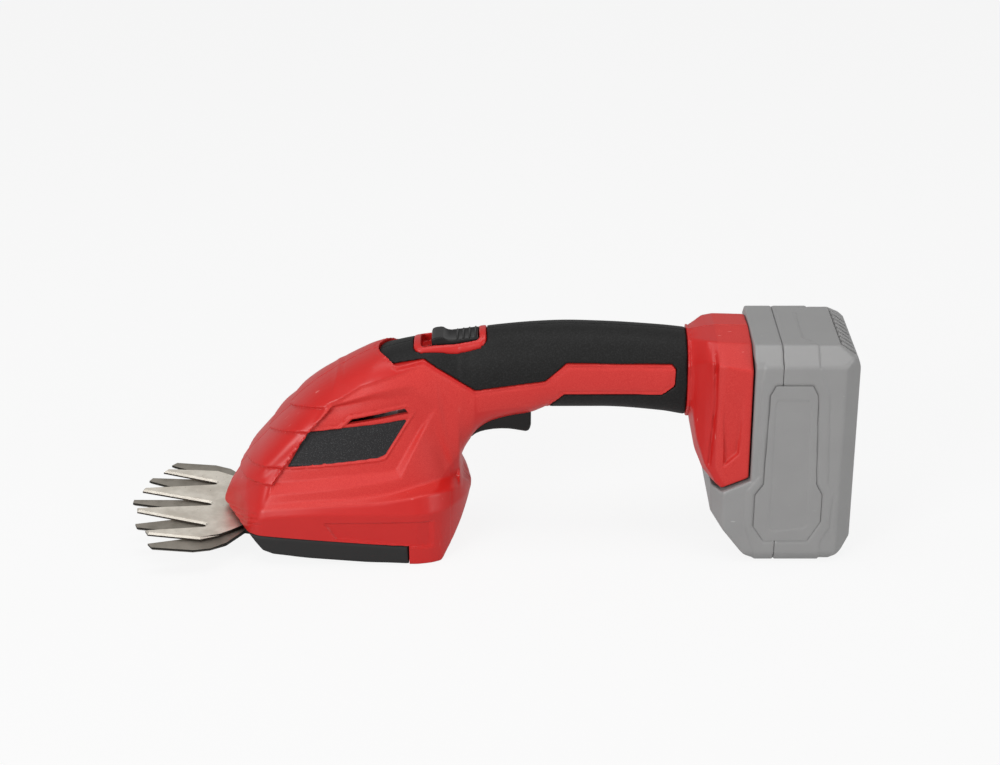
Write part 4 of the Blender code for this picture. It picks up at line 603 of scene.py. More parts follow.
shell_grid = grid((-151.0, 0.72, -26.0, 0.9, 94.0, 0.76, 131.6),
                  (-45.0, 0.76, -1.0, 0.4, -0.151, 0.002, -0.149), (-1.6, 0.72, 124.0))
shell, handle = housing_form(*shell_grid)
grip_space = grip_gap(*shell_grid)
# A fine groove follows the edge of the grip, and under the grip the shell is set back
shell += 0.6 * notch(grip_space - 1.9, 0.8) * (handle < 3.0)
seat = np.maximum(grip_space - GAP, -(handle + GRIP_SKIN + GAP))
shell = less(shell, seat, bezel_gap(*shell_grid, GAP))
shell[:, -1, :] = 1.0
shell[:, :, 0] = 1.0
left_mesh = skin("housing_left_skin", *shell_grid, shell)

# The hollow behind the wall, on a coarser grid, less the ground that carries the screws
SCREW_SPOTS = ((-119, 53), (-99, 76), (-35, 20), (-25.6, 66), (38.4, 97.2), (105.6, 84.5))
BOSS, BEZEL_GROUND = 4.4, 3.0
room_grid = grid((-150.0, 2.2, 112.0), (-44.0, 1.9, 2.4), (-2.0, 2.0, 124.0))
room, room_handle = housing_form(*room_grid)
room = less(room, np.maximum(grip_gap(*room_grid), -(room_handle + GRIP_SKIN + GAP))) + WALL
for spot_x, spot_z in SCREW_SPOTS:
    room = less(room, rod(room_grid[0] - spot_x, room_grid[2] - spot_z, BOSS))
room = less(room, bezel_gap(*room_grid, BEZEL_GROUND))
for axis in range(3):
    room.swapaxes(0, axis)[0] = room.swapaxes(0, axis)[-1] = 1.0
room_mesh = skin("room", *room_grid, room)


def prism(outline, low, high, axis="Y"):
    """A closed block with an outline in the other two axes, from low to high along one."""
    made = bmesh.new()
    ends = []
    for at in (low, high):
        places = [{"Y": (a, at, b), "X": (at, a, b), "Z": (a, b, at)}[axis] for a, b in outline]
        ends.append([made.verts.new(Vector((x + SHIFT, y, z)) * MM) for x, y, z in places])
    made.faces.new(ends[0])
    made.faces.new(ends[1])
    for i in range(len(outline)):
        made.faces.new((ends[0][i - 1], ends[0][i], ends[1][i], ends[1][i - 1]))
    bmesh.ops.recalc_face_normals(made, faces=made.faces)
    mesh = bpy.data.meshes.new("prism")
    made.to_mesh(mesh)
    made.free()
    return mesh


def circle(x, z, radius, sides=20):
    turns = [2 * math.pi * i / sides for i in range(sides)]
    return [(x + radius * math.cos(turn), z + radius * math.sin(turn)) for turn in turns]


def plain_copy(thing):
    """The thing's mesh with its modifiers carried out."""
    graph = bpy.context.evaluated_depsgraph_get()
    return bpy.data.meshes.new_from_object(thing.evaluated_get(graph))


def carve(mesh, cutters, how="DIFFERENCE"):
    """The mesh less other closed meshes, or joined with them."""
    work = put("work", mesh)
    tools = []
    for cutter in cutters:
        tool = put("cutter", cutter)
        step = work.modifiers.new("carve", "BOOLEAN")
        step.solver = "MANIFOLD"
        step.operation = how
        step.object = tool
        tools.append(tool)
    result = plain_copy(work)
    for thing in tools + [work]:
        bpy.data.objects.remove(thing, do_unlink=True)
    return result


CAVITY = [(-31.5, 20.0), (-31.5, 107.0), (-18.5, 116.4), (3.0, 116.4), (3.0, 20.0)]
RAIL = [(122.3, 52.0), (124.7, 52.0), (124.7, 105.5), (122.3, 105.5)]
cavity = carve(prism(CAVITY, 112.0, 134.0, "X"), [prism(RAIL, -40.0, -18.4)])
# The mouth for the base cover, the vent and the slot of the trigger
MOUTH = [(-160, SHOE_TOP + GAP), (-160, -30), (HEEL_FRONT, -30), (HEEL_FRONT, SHOE_TOP + GAP)]
lean = math.tan(HEAD_TILT)
mouth = [(x, z if z < 0 else HEAD_Z + z / math.cos(HEAD_TILT) - (x - HEAD_X) * lean) for x, z in MOUTH]
TRIGGER_SLOT = [(-17.9, 58.2), (17.6, 58.2), (17.6, 82.0), (-17.9, 82.0)]
OUTSIDE, MIDDLE, VENT_END, TRIGGER_ROOM = -60.0, 5.0, -13.0, -8.3
openings = [prism(mouth, OUTSIDE, MIDDLE), prism(VENT, OUTSIDE, VENT_END),
            prism(TRIGGER_SLOT, TRIGGER_ROOM, MIDDLE)]
left_mesh = carve(left_mesh, [room_mesh, cavity] + openings)


def mirror_of(mesh):
    other = mesh.copy()
    other.transform(Matrix.Scale(-1, 4, (0, 1, 0)))
    other.flip_normals()
    return other


BORE, BORE_FLOOR = 3.5, 7.0
bores = [prism(circle(x, z, BORE), BORE_FLOOR, -OUTSIDE) for x, z in SCREW_SPOTS]
right_mesh = carve(mirror_of(left_mesh), bores)

# The skin is finely grained on the flanks, the insert and the receiver, and satin elsewhere; where grained,
# its colour is paler, partly for the grain and partly as painted sheen
GRAINED = (
    [(-89.2, 86.5), (-84.2, 88.8), (-72, 96.1), (-61.3, 99.7), (-49.2, 103.2), (-39.6, 106.0), (-12.8, 89.0),
     (-14, 66), (-24, 50), (-32.4, 40.9), (-62.7, 36.6), (-96.7, 34.2), (-124.3, 31.5), (-119.5, 43.8),
     (-113.1, 53.6), (-98.9, 73.6)],
    [(-12.8, 91.0), (23.4, 96.9), (34.5, 107.0), (89.8, 106.0), (91.8, 103.3), (91.2, 94.0), (84.7, 88.7),
     (33.6, 88.6), (27.5, 82.0), (-12, 78)],
    [(112.4, 125), (131, 125), (131, 50), (118, 44), (112.5, 54)])


def mark_grain(mesh):
    """Store on each point how grained the moulding is there, from 0 to 1, which also sets where the red is
    paler with painted sheen.
    """
    place = np.empty(len(mesh.vertices) * 3, np.float32)
    mesh.vertices.foreach_get("co", place)
    place = place.reshape(-1, 3) / MM - (SHIFT, 0, 0)
    grain = np.zeros(len(place))
    for outline in GRAINED:
        grain = np.maximum(grain, ease(-outline_gap(place[:, 0], place[:, 2], outline), -0.5, 0.7))
    grain *= ease(np.abs(place[:, 1]), 3, 12) + (place[:, 0] > 100)
    layer = mesh.attributes.new("grain", "FLOAT", "POINT")
    layer.data.foreach_set("value", np.clip(grain, 0, 1).astype(np.float32))


def red_finish():
    finish = Finish("moulded red plastic")
    grained = finish.value("ShaderNodeAttribute", {"attribute_name": "grain"}, output="Fac")
    blotch = finish.noise(16.0, 3.0)
    spark = finish.noise(0.42, rough=0.65)
    coarse = finish.noise(0.9)
    satin = finish.mix(blotch, (0.50, 0.010, 0.008), (0.55, 0.013, 0.011))
    # Where the skin is grained its colour is paler and whiter than the satin red, in specks: partly the real
    # grain, partly painted sheen
    matt = finish.mix(finish.ramp(spark, 0.36, 0.66), (0.54, 0.018, 0.015), (0.61, 0.038, 0.031))
    colour = finish.mix(grained, satin, matt)
    # Handling has left a few pale hairline scratches
    scratch = finish.ramp(finish.noise(1.6, 1.0, (0.35, 1.0, 0.12)), 0.73, 0.76)
    patch = finish.ramp(finish.noise(22.0, 1.0), 0.55, 0.7)
    colour = finish.mix(scratch * patch * 0.6, colour, (0.75, 0.28, 0.25))
    relief = (spark * 0.6 + coarse * 0.4) * (0.12 + grained * 0.88)
    return finish.set(Base_Color=colour, Roughness=0.34 + 0.08 * blotch + 0.14 * grained,
                      Specular_IOR_Level=0.42, Normal=finish.bump(relief, 0.05))


RED = red_finish()


def dress(name, mesh, angle, body, nodes, material):
    """Make a piece of a mesh, smooth but for edges that turn by more than an angle."""
    mesh.shade_smooth()
    mesh.set_sharp_from_angle(angle=math.radians(angle))
    mesh.materials.clear()
    mesh.materials.append(material)
    piece = put(name, mesh)
    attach(piece, body)
    for node in nodes:
        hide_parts(node)


def dress_pair(name, left, right, angle, body, nodes, material):
    """Make a left and a right piece, for which %s in a name stands."""
    for side, mesh in (("left", left), ("right", right)):
        dress(name % side, mesh, angle, body, [node % side for node in nodes], material)


mark_grain(left_mesh)
mark_grain(right_mesh)
dress_pair("housing_%s_shell", left_mesh, right_mesh, 50.0, "tool", ["housing_%s"], RED)

# ---------------------------------------------------------------- label plates
# A bare black plate with a fine stipple, glued into the pocket in the side panel of each half. It
# carries no print here.
LABEL_EDGE = [(-100.15, 72.05), (-48.5, 76.6), (-60.2, 58.9), (-64.1, 57.35), (-111.05, 53.1)]
LABEL_RISE, LABEL_DEPTH = 0.35, 0.6
plate_grid = grid((-113.5, 0.5, -45.5), (-41.0, 0.4, -19.0), (51.0, 0.5, 80.0))
plate_form = head_form(*plate_grid)
plate = common(plate_form - LABEL_RISE, -(plate_form + LABEL_DEPTH),
               outline_gap(plate_grid[0], plate_grid[2], LABEL) - 0.8)
plate_mesh = carve(skin("label_plate", *plate_grid, plate), [prism(LABEL_EDGE, -45.0, -15.0)], "INTERSECT")


def label_finish():
    finish = Finish("black label plate")
    speck = finish.noise(0.5, rough=0.7)
    colour = finish.mix(finish.ramp(speck, 0.52, 0.68), (0.010, 0.010, 0.011), (0.05, 0.05, 0.052))
    return finish.set(Base_Color=colour, Roughness=0.42 + 0.2 * speck, Specular_IOR_Level=0.3,
                      Normal=finish.bump(speck, 0.03))


LABEL_BLACK = label_finish()
dress_pair("label_plate_%s", plate_mesh, mirror_of(plate_mesh), 38.0, "tool", [],
           LABEL_BLACK)

# ---------------------------------------------------------------- soft grip
# Black thermoplastic rubber moulded over the handle in two halves, 1.8 mm thick, with a finely
# stippled skin. It leaves the red belly and the red side insert bare.
def blend_out(one, two, round_by):
    """The common space of two bodies, with rounded edges."""
    return -blend(-one, -two, round_by)


grip_grid = grid((-65.0, 0.78, 98.6), (-24.0, 0.7, -1.0, 0.4, -0.151, 0.002, -0.149), (70.0, 0.72, 124.0))
grip_body = handle_gap(*grip_grid)
grip = blend_out(less(grip_body, grip_body + GRIP_SKIN), grip_gap(*grip_grid), 0.8)
grip = less(grip, bezel_gap(*grip_grid, GAP))
grip[:, -1, :] = 1.0
grip_mesh = skin("grip_left_skin", *grip_grid, grip)


def rubber_finish():
    finish = Finish("black grip rubber")
    stipple = finish.noise(0.75, 3.0, rough=0.6)
    cloud = finish.noise(10.0, 3.0)
    colour = finish.mix(finish.ramp(stipple, 0.4, 0.7), (0.006, 0.006, 0.0058), (0.015, 0.015, 0.0152))
    return finish.set(Base_Color=colour, Roughness=0.52 + 0.12 * cloud, Specular_IOR_Level=0.2,
                      Normal=finish.bump(stipple, 0.10))


RUBBER = rubber_finish()
dress_pair("grip_%s_skin", grip_mesh, mirror_of(grip_mesh), 60.0, "tool", ["grip_%s"],
           RUBBER)

# ---------------------------------------------------------------- slider frame
# A red moulded frame let into the top of the handle, round the bed in which the thumb slider runs.
WINDOW_FRONT, WINDOW_REAR, WINDOW_HALF, WINDOW_FLOOR = -16.5, 14.6, 8.6, -6.5
frame_grid = grid((-49.5, 0.42, -4.0), (-12.9, 0.43, 12.9), (104.0, 0.42, 123.5))
frame_x, across, frame_z = frame_grid
along, above = slider_place(frame_x, frame_z)
block = blend_out(bezel_gap(*frame_grid, 0.0), handle_gap(*frame_grid) - 0.4, 1.2)
window = round_box(along, across, WINDOW_FRONT, WINDOW_REAR, WINDOW_HALF, 2.2)
block = blend_out(block, -np.maximum(window, WINDOW_FLOOR - above), 0.7)
# The bed has a small square hole in front of the slider, and the slot of the slider's foot
pocket = common(np.abs(along + 13.4) - 1.5, np.abs(across) - 2.4, -7.9 - above)
foot_slot = common(-8.1 - along, along - 7.6, np.abs(across) - 3.3)
frame_mesh = skin("slider_frame", *frame_grid, less(block, pocket, foot_slot))
mark_grain(frame_mesh)
dress("slider_frame", frame_mesh, 50.0, "tool", ["slider_bezel"], RED)

# ---------------------------------------------------------------- thumb slider
# The lock-off slider: black nylon, moulded in one piece, with a glossy nose, a hollow for the thumb
# and four ribs. Its foot reaches down through the frame to the lever of the trigger.
SLIDER_FRONT, SLIDER_REAR, SLIDER_HALF = -10.7, 14.3, 8.0
FOOT_X, FOOT_LENGTH, FOOT_WIDTH, FOOT_END = 2.5, 9.0, 6.0, -16.0
thumb = [
    (SLIDER_FRONT, -6.0), (SLIDER_FRONT, -0.6), (SLIDER_FRONT + 0.7, 0.7), (SLIDER_FRONT + 2.2, 1.2),
    (SLIDER_FRONT + 5.2, 1.2), (SLIDER_FRONT + 6.4, 0.8), (SLIDER_FRONT + 7.4, -0.1),
    (SLIDER_FRONT + 8.6, -0.9), (SLIDER_FRONT + 10.4, -1.4), (SLIDER_REAR - 0.8, -1.7), (SLIDER_REAR, -2.3),
    (SLIDER_REAR, -6.0)]
thumb_grid = grid((-37.6, 0.36, -9.4), (-8.6, 0.36, 8.6), (99.4, 0.36, 124.6))
thumb_x, across, thumb_z = thumb_grid
along, above = slider_place(thumb_x, thumb_z)
# The thumb's hollow dips a little in the middle
dip = 0.7 * np.clip(1 - (across / 6.5) ** 2, 0, 1) * ease(along, -4.6, -1.5)
profile = outline_gap(along, above, thumb) + dip * ease(above, -4.0, -2.0)
slider = blend_out(profile, np.abs(across) - SLIDER_HALF, 0.9)
foot = common(np.abs(along - FOOT_X) - FOOT_LENGTH / 2, FOOT_END - above, above + 5.0,
              np.abs(across) - FOOT_WIDTH / 2)
spring_bore = np.maximum(rod(across, above + 11.5, 2.3), along - 4.0)
slider_mesh = skin("thumb_slider", *thumb_grid, less(np.minimum(slider, foot), spring_bore))


class Tree:
    """A geometry node tree with points and named numbers as inputs, which ends in one material."""

    def __init__(self, name, words):
        self.tree = bpy.data.node_groups.new(name, "GeometryNodeTree")
        self.socket("Points", "Geometry")
        self.socket("Geometry", "Geometry", "OUTPUT")
        self.keys = {word: self.socket(word, "Int" if word == "Count" else "Float") for word in words}

    def socket(self, word, kind, way="INPUT"):
        return self.tree.interface.new_socket(word, in_out=way, socket_type="NodeSocket" + kind).identifier

    def node(self, kind, links=None, settings=None):
        """A node with each of its inputs linked or set."""
        node = self.tree.nodes.new(kind)
        for key, value in (settings or {}).items():
            setattr(node, key, value)
        for key, value in (links or {}).items():
            if isinstance(value, bpy.types.NodeSocket):
                self.tree.links.new(value, node.inputs[key])
            else:
                node.inputs[key].default_value = value
        return node

    def finish(self, instances, material):
        real = self.node("GeometryNodeRealizeInstances", {"Geometry": instances})
        done = self.node("GeometryNodeSetMaterial", {"Geometry": real.outputs[0], "Material": material})
        self.node("NodeGroupOutput", {0: done.outputs[0]})
        return self


def bar_row(material):
    """A tree that sets bars side by side in a row along X."""
    tree = Tree("row of bars", ("Count", "Pitch", "Width", "Length", "Height"))
    given = tree.node("NodeGroupInput").outputs
    offset = tree.node("ShaderNodeCombineXYZ", {"X": given["Pitch"]})
    line = tree.node("GeometryNodeMeshLine", {"Count": given["Count"], "Offset": offset.outputs[0]},
                     {"mode": "OFFSET"})
    size = tree.node("ShaderNodeCombineXYZ", {"X": given["Width"], "Y": given["Length"],
                                              "Z": given["Height"]})
    bar = tree.node("GeometryNodeMeshCube", {"Size": size.outputs[0]})
    row = tree.node("GeometryNodeInstanceOnPoints", {"Points": line.outputs[0],
                                                     "Instance": bar.outputs["Mesh"]})
    return tree.finish(row.outputs[0], material)


def grow(mesh, tree, values, bevel=0.0):
    """The plain mesh that a tree makes of a mesh, with its edges bevelled."""
    work = put("work", mesh)
    step = work.modifiers.new("grow", "NODES")
    step.node_group = tree.tree
    for key, value in values.items():
        step[tree.keys[key]] = value if isinstance(value, int) else value * MM
    if bevel:
        edge = work.modifiers.new("edge", "BEVEL")
        edge.width = bevel * MM
        edge.segments = 2
    result = plain_copy(work)
    bpy.data.objects.remove(work, do_unlink=True)
    return result


def moulded_finish(name, low, high, rough, grain_size=0.5, shine=0.5):
    finish = Finish(name)
    grain = finish.noise(grain_size)
    cloud = finish.noise(12.0, 3.0)
    return finish.set(Base_Color=finish.mix(cloud, low, high), Roughness=rough + 0.1 * cloud,
                      Specular_IOR_Level=shine, Normal=finish.bump(grain, 0.02))


def move(x, z):
    return Matrix.Translation(Vector((x, 0, z)) * MM)


BLACK = moulded_finish("black moulded plastic", (0.0065, 0.006, 0.006), (0.011, 0.0105, 0.0105), 0.3,
                       grain_size=0.45, shine=0.22)
SLIDER_RIB = {"Count": 4, "Pitch": 3.2, "Width": 1.0, "Length": 14.6, "Height": 1.4}
ribs = grow(bpy.data.meshes.new("slider_ribs"), bar_row(BLACK), SLIDER_RIB, 0.3)
ribs.transform(move(SLIDER_X + SHIFT, SLIDER_Z) @ Matrix.Rotation(-SLIDER_LEAN, 4, "Y")
               @ move(SLIDER_FRONT + 13.6, -1.85))
slider_mesh = carve(slider_mesh, [ribs], "UNION")
dress("thumb_slider_cap", slider_mesh, 45.0, "thumb_slider", ["lock_off_slider"], BLACK)

# ---------------------------------------------------------------- trigger
# A long black lever under the handle, moulded with rounded edges and hinged on a pin at its front.
TRIGGER_X, TRIGGER_Z, TRIGGER_HALF, TRIGGER_ROUND, PIN_HOLE = -12.0, 74.0, 8.0, 2.6, 1.8
lever = [
    (-5.2, -14.6), (-4.2, -15.0), (-2.6, -14.2), (-0.8, -12.7), (1.6, -11.6), (4.3, -10.8), (8.4, -10.1),
    (12.8, -9.8), (16.4, -9.9), (19.5, -10.3), (22.8, -10.9), (25.7, -11.4), (27.2, -10.9), (28.0, -9.6),
    (28.5, -7.6), (28.5, 4.2), (24.5, 6.0), (19.5, 3.6), (6, 3.6), (0, 4.2), (-3.2, 3.0), (-4.2, 0),
    (-4.4, -5), (-5.6, -12.6)]
lever_grid = grid((-18.6, 0.45, 17.4), (-8.6, 0.45, 8.6), (58.2, 0.45, 81.0))
along, across, above = lever_grid[0] - TRIGGER_X, lever_grid[1], lever_grid[2] - TRIGGER_Z
trigger = blend_out(outline_gap(along, above, lever), np.abs(across) - TRIGGER_HALF, TRIGGER_ROUND)
spring_room = common(along - 4.4, np.abs(above - 1.8) - 6.2, np.abs(across) - 4.3)
trigger_mesh = skin("trigger_lever_cap", *lever_grid, less(trigger, rod(along, above, PIN_HOLE), spring_room))
dress("trigger_lever_cap", trigger_mesh, 45.0, "trigger_lever", ["trigger"], BLACK)

# ---------------------------------------------------------------- housing screws
# Six self-tapping pan-head screws of zinc-plated steel with a cross recess, driven into the left
# half from the right-hand side.
def metal_finish(name, low, high, rough):
    finish = Finish(name)
    lines = finish.noise(0.35, 3.0, (0.08, 1.0, 1.0))
    cloud = finish.noise(7.0, 3.0)
    return finish.set(Base_Color=finish.mix(cloud, low, high), Roughness=rough + 0.2 * lines, Metallic=1.0,
                      Normal=finish.bump(lines, 0.01))


ZINC = metal_finish("zinc plated steel", (0.46, 0.46, 0.47), (0.58, 0.58, 0.58), 0.25)


def screw_tree(material):
    """A tree that sets a cross-head screw on each point, with its head towards the right."""
    tree = Tree("screws", ("Head Radius", "Head Height", "Shank Radius", "Shank Length", "Cross Width",
                           "Cross Depth"))
    given = tree.node("NodeGroupInput").outputs

    def times(one, two):
        return tree.node("ShaderNodeMath", {0: one, 1: two}, {"operation": "MULTIPLY"}).outputs[0]

    def lift(mesh, height):
        up = tree.node("ShaderNodeCombineXYZ", {"Z": height})
        return tree.node("GeometryNodeTransform", {"Geometry": mesh, "Translation": up.outputs[0]}).outputs[0]

    head = tree.node("GeometryNodeMeshCone", {"Vertices": 24, "Radius Top": times(given["Head Radius"], 0.72),
                                              "Radius Bottom": given["Head Radius"],
                                              "Depth": given["Head Height"]})
    shank = tree.node("GeometryNodeMeshCone", {"Vertices": 12, "Radius Top": given["Shank Radius"],
                                               "Radius Bottom": times(given["Shank Radius"], 0.4),
                                               "Depth": given["Shank Length"]})
    cut_head = tree.node("GeometryNodeMeshBoolean", {"Mesh 1": head.outputs["Mesh"]},
                         {"operation": "DIFFERENCE", "solver": "MANIFOLD"})
    long_side = times(given["Head Radius"], 1.2)
    for one, two in ((long_side, given["Cross Width"]), (given["Cross Width"], long_side)):
        size = tree.node("ShaderNodeCombineXYZ", {"X": one, "Y": two, "Z": times(given["Cross Depth"], 2.0)})
        arm = tree.node("GeometryNodeMeshCube", {"Size": size.outputs[0]})
        tree.tree.links.new(lift(arm.outputs["Mesh"], given["Head Height"]), cut_head.inputs["Mesh 2"])
    screw = tree.node("GeometryNodeJoinGeometry")
    below = lift(shank.outputs["Mesh"], times(given["Shank Length"], -1.0))
    for mesh in (cut_head.outputs["Mesh"], below):
        tree.tree.links.new(mesh, screw.inputs[0])
    spread = tree.node("GeometryNodeInstanceOnPoints", {
        "Points": given["Points"], "Instance": screw.outputs[0], "Rotation": (-math.pi / 2, 0.0, 0.0)})
    return tree.finish(spread.outputs[0], material)


spots = bpy.data.meshes.new("screw_spots")
spots.from_pydata([((x + SHIFT) * MM, (BORE_FLOOR + 0.05) * MM, z * MM) for x, z in SCREW_SPOTS], [], [])
SCREW = {"Head Radius": 3.0, "Head Height": 2.3, "Shank Radius": 1.6, "Shank Length": 18.8,
         "Cross Width": 0.9, "Cross Depth": 1.3}
dress("housing_screws", grow(spots, screw_tree(ZINC), SCREW), 30.0, "tool",
      ["housing_screw_%d" % (i + 1) for i in range(len(SCREW_SPOTS))], ZINC)

# ---------------------------------------------------------------- battery pack
# Two cases of grey ribbed plastic, screwed together round the cells, with a seam round the pack
# just behind the receiver. A raised band runs up each side, with a bare plate let into it.
PACK_HALF, PACK_TOP, PACK_SEAM = 37.5, 121.7, 145.0
PACK_EDGE, BAND_STEP, PACK_PANEL_DEPTH = 1.4, 0.55, 0.85
PACK_SIDE = [
    (130.3, PACK_TOP), (175.0, PACK_TOP), (184.6, 114.8), (REAR, 109.5), (REAR, 12.1), (181.6, 5.2),
    (174.5, 0.0), (134.0, 0.0), (129.0, 3.0), (110.5, 27.0), (110.0, 43.9), (116.0, 41.6), (130.3, 48.0)]
PACK_FRONT = [
    (-33.5, 0.0), (-PACK_HALF, 6.0), (-PACK_HALF, 112.4), (-26.7, PACK_TOP), (26.7, PACK_TOP),
    (PACK_HALF, 112.4), (PACK_HALF, 6.0), (33.5, 0.0)]
PACK_PLAN = [
    (100.0, 26.0), (110.0, 29.5), (117.0, PACK_HALF), (177.0, PACK_HALF), (REAR, 29.0), (REAR, -29.0),
    (177.0, -PACK_HALF), (117.0, -PACK_HALF), (110.0, -29.5), (100.0, -26.0)]
PACK_PANEL = [
    (138.6, 12.3), (162.5, 12.3), (169.2, 23.9), (169.2, 40.2), (165.9, 46.7), (164.0, 97.1), (160.9, 103.3),
    (141.2, 103.3), (138.2, 97.1), (136.9, 46.2), (132.9, 40.2), (132.8, 21.1)]
BAND_FRONT = (
    (-5, 134.2), (4.6, 134.2), (20.6, 128.9), (42.4, 128.9), (51.0, 135.2), (104.9, 133.6), (121.1, 136.7))
BAND_REAR = (
    (-5, 169.4), (12.3, 169.4), (20.6, 173.8), (39.7, 174.5), (46.2, 171.7), (97.1, 169.5), (112.1, 163.9),
    (121.1, 163.9))
BUTTON_LEAN = math.atan2(6.9, 9.6)
BUTTON_X, BUTTON_Z, BUTTON_HALF, BUTTON_REACH = 179.8, 118.25, 24.0, 4.4


def button_place(x, z):
    """Places down the slope of the latch button and out of it."""
    down = (x - BUTTON_X) * math.cos(BUTTON_LEAN) - (z - BUTTON_Z) * math.sin(BUTTON_LEAN)
    out = (x - BUTTON_X) * math.sin(BUTTON_LEAN) + (z - BUTTON_Z) * math.cos(BUTTON_LEAN)
    return down, out


def pack_gap(x, y, z):
    """The pack's outer form with its band, grooves and side panels."""
    form = blend_out(outline_gap(x, z, PACK_SIDE), outline_gap(y, z, PACK_FRONT), PACK_EDGE)
    form = blend_out(form, outline_gap(x, y, PACK_PLAN), PACK_EDGE)
    behind = x - np.interp(z, *np.array(BAND_REAR).T)
    before = np.interp(z, *np.array(BAND_FRONT).T) - x
    # On the top the rear line steps forward to a flat panel before the button
    on_top = ease(z, 113.0, 115.0)
    top_line = np.interp(np.abs(y), (16.6, 26.4), (156.6, 163.9))
    behind = behind * (1 - on_top) + (x - top_line) * on_top
    form = form + BAND_STEP * ease(behind, -0.5, 0.5) + 0.45 * notch(behind, 0.8)
    form = form + BAND_STEP * ease(before, -0.5, 0.5) * (1 - on_top) + 0.4 * notch(before, 0.8) * (1 - on_top)
    panel = outline_gap(x, z, PACK_PANEL)
    return form + PACK_PANEL_DEPTH * ease(-panel, -0.3, 0.5) * ease(np.abs(y), 34.0, 35.5)


# The front case's tower, which fills the receiver, its rail grooves and the slots of its contacts
TOWER_X, TOWER_Z, TOWER_HALF = (117.0, 133.0), (44.0, 112.0), 22.0
RAIL_GROOVE_X, RAIL_GROOVE_FOOT, RAIL_GROOVE_HALF = 123.5, 51.7, 18.0
CONTACT_X, CONTACT_FOOT, CONTACT_Y = 123.2, 101.0, (-11.0, 0.0, 11.0)


def pack_case(name, low, high, rear):
    """One case, still solid, on the grid between two places along X."""
    x, y, z = case_grid = grid((low, 0.78, high), (-38.3, 0.79, 38.4), (-1.0, 0.79, 123.0))
    seam = PACK_SEAM + 0.15 - x if rear else x - PACK_SEAM + 0.15
    form = blend_out(pack_gap(x, y, z), seam, 0.35)
    half = np.abs(y)
    if rear:
        down, out = button_place(x, z)
        form = less(form, common(np.abs(down) - BUTTON_REACH - GAP, -6.0 - out, half - BUTTON_HALF - GAP))
    else:
        tower = common(TOWER_X[0] - x, x - TOWER_X[1], TOWER_Z[0] - z, z - TOWER_Z[1])
        form = np.minimum(form, blend_out(tower, half - TOWER_HALF, 0.8))
        form = less(form, common(np.abs(x - RAIL_GROOVE_X) - 1.6, RAIL_GROOVE_FOOT - z,
                                 RAIL_GROOVE_HALF - half))
        for slot_y in CONTACT_Y:
            form = less(form, common(np.abs(x - CONTACT_X) - 5.0, CONTACT_FOOT - z, np.abs(y - slot_y) - 1.1))
    form[0] = form[-1] = 1.0
    return skin(name, *case_grid, form)


# The inside of both cases, one wall behind the skin and clear of the button's seat
room_side = [
    (132.8, 119.2), (168.0, 119.2), (170.0, 112.0), (184.0, 104.0), (184.0, 13.0), (179.8, 7.2), (173.6, 2.4),
    (135.4, 2.4), (130.6, 5.0), (116.0, 26.0), (116.0, 36.0), (132.8, 43.0)]
room_front = [
    (-31.0, 2.4), (-34.2, 6.8), (-34.2, 110.8), (-26.0, 119.2), (26.0, 119.2), (34.2, 110.8), (34.2, 6.8),
    (31.0, 2.4)]
room_plan = [
    (112.0, 26.0), (118.5, 34.2), (175.4, 34.2), (184.0, 26.6), (184.0, -26.6), (175.4, -34.2),
    (118.5, -34.2), (112.0, -26.0)]
pack_room = carve(prism(room_side, -34.2, 34.2), [prism(room_front, 90.0, 200.0, "X"),
                                                  prism(room_plan, -10.0, 130.0, "Z")], "INTERSECT")


def grey_finish():
    finish = Finish("grey battery plastic")
    grain = finish.noise(0.5, rough=0.6)
    cloud = finish.noise(18.0, 3.0)
    scuff = finish.ramp(finish.noise(1.8, stretch=(0.3, 0.8, 1.0)), 0.72, 0.78)
    scuff = scuff * finish.ramp(finish.noise(26.0), 0.5, 0.7)
    colour = finish.mix(cloud, (0.255, 0.253, 0.252), (0.29, 0.288, 0.286))
    colour = finish.mix(scuff * 0.5, colour, (0.5, 0.5, 0.5))
    return finish.set(Base_Color=colour, Roughness=0.36 + 0.1 * cloud, Specular_IOR_Level=0.5,
                      Normal=finish.bump(grain, 0.035))


GREY = grey_finish()
for word, low, high in (("front", 98.0, 146.4), ("rear", 143.6, 188.2)):
    shell_name = "battery_%s_shell" % word
    case_mesh = carve(pack_case(shell_name, low, high, word == "rear"), [pack_room])
    dress(shell_name, case_mesh, 45.0, "battery", ["battery_%s_case" % word], GREY)

# ---------------------------------------------------------------- battery side plates
# A plain grey plate, half a millimetre thick, snapped into the panel of each side of the pack over
# the seam. Its sunk field in the middle stays bare.
PLATE_FIELD = [
    (142.6, 94.7), (158.8, 94.5), (160.6, 91.3), (162.1, 22.6), (160.2, 20.4), (143.0, 18.4), (141.2, 20.6),
    (141.6, 91.6)]
PLATE_FACE, PANEL_FLOOR, FIELD_DEPTH = 37.12, 36.7, 0.22
plate_grid = grid((132.0, 0.55, 170.0), (-37.5, 0.28, -35.9), (11.0, 0.55, 104.6))
side_x, depth, side_z = plate_grid
field = FIELD_DEPTH * ease(-outline_gap(side_x, side_z, PLATE_FIELD), -0.2, 0.4)
side_plate = common(-PLATE_FACE + field - depth, depth + PANEL_FLOOR - 0.1,
                    outline_gap(side_x, side_z, PACK_PANEL) + 0.75)
side_mesh = skin("side_plate", *plate_grid, side_plate)
dress_pair("battery_plate_%s", side_mesh, mirror_of(side_mesh), 45.0, "battery", [], GREY)

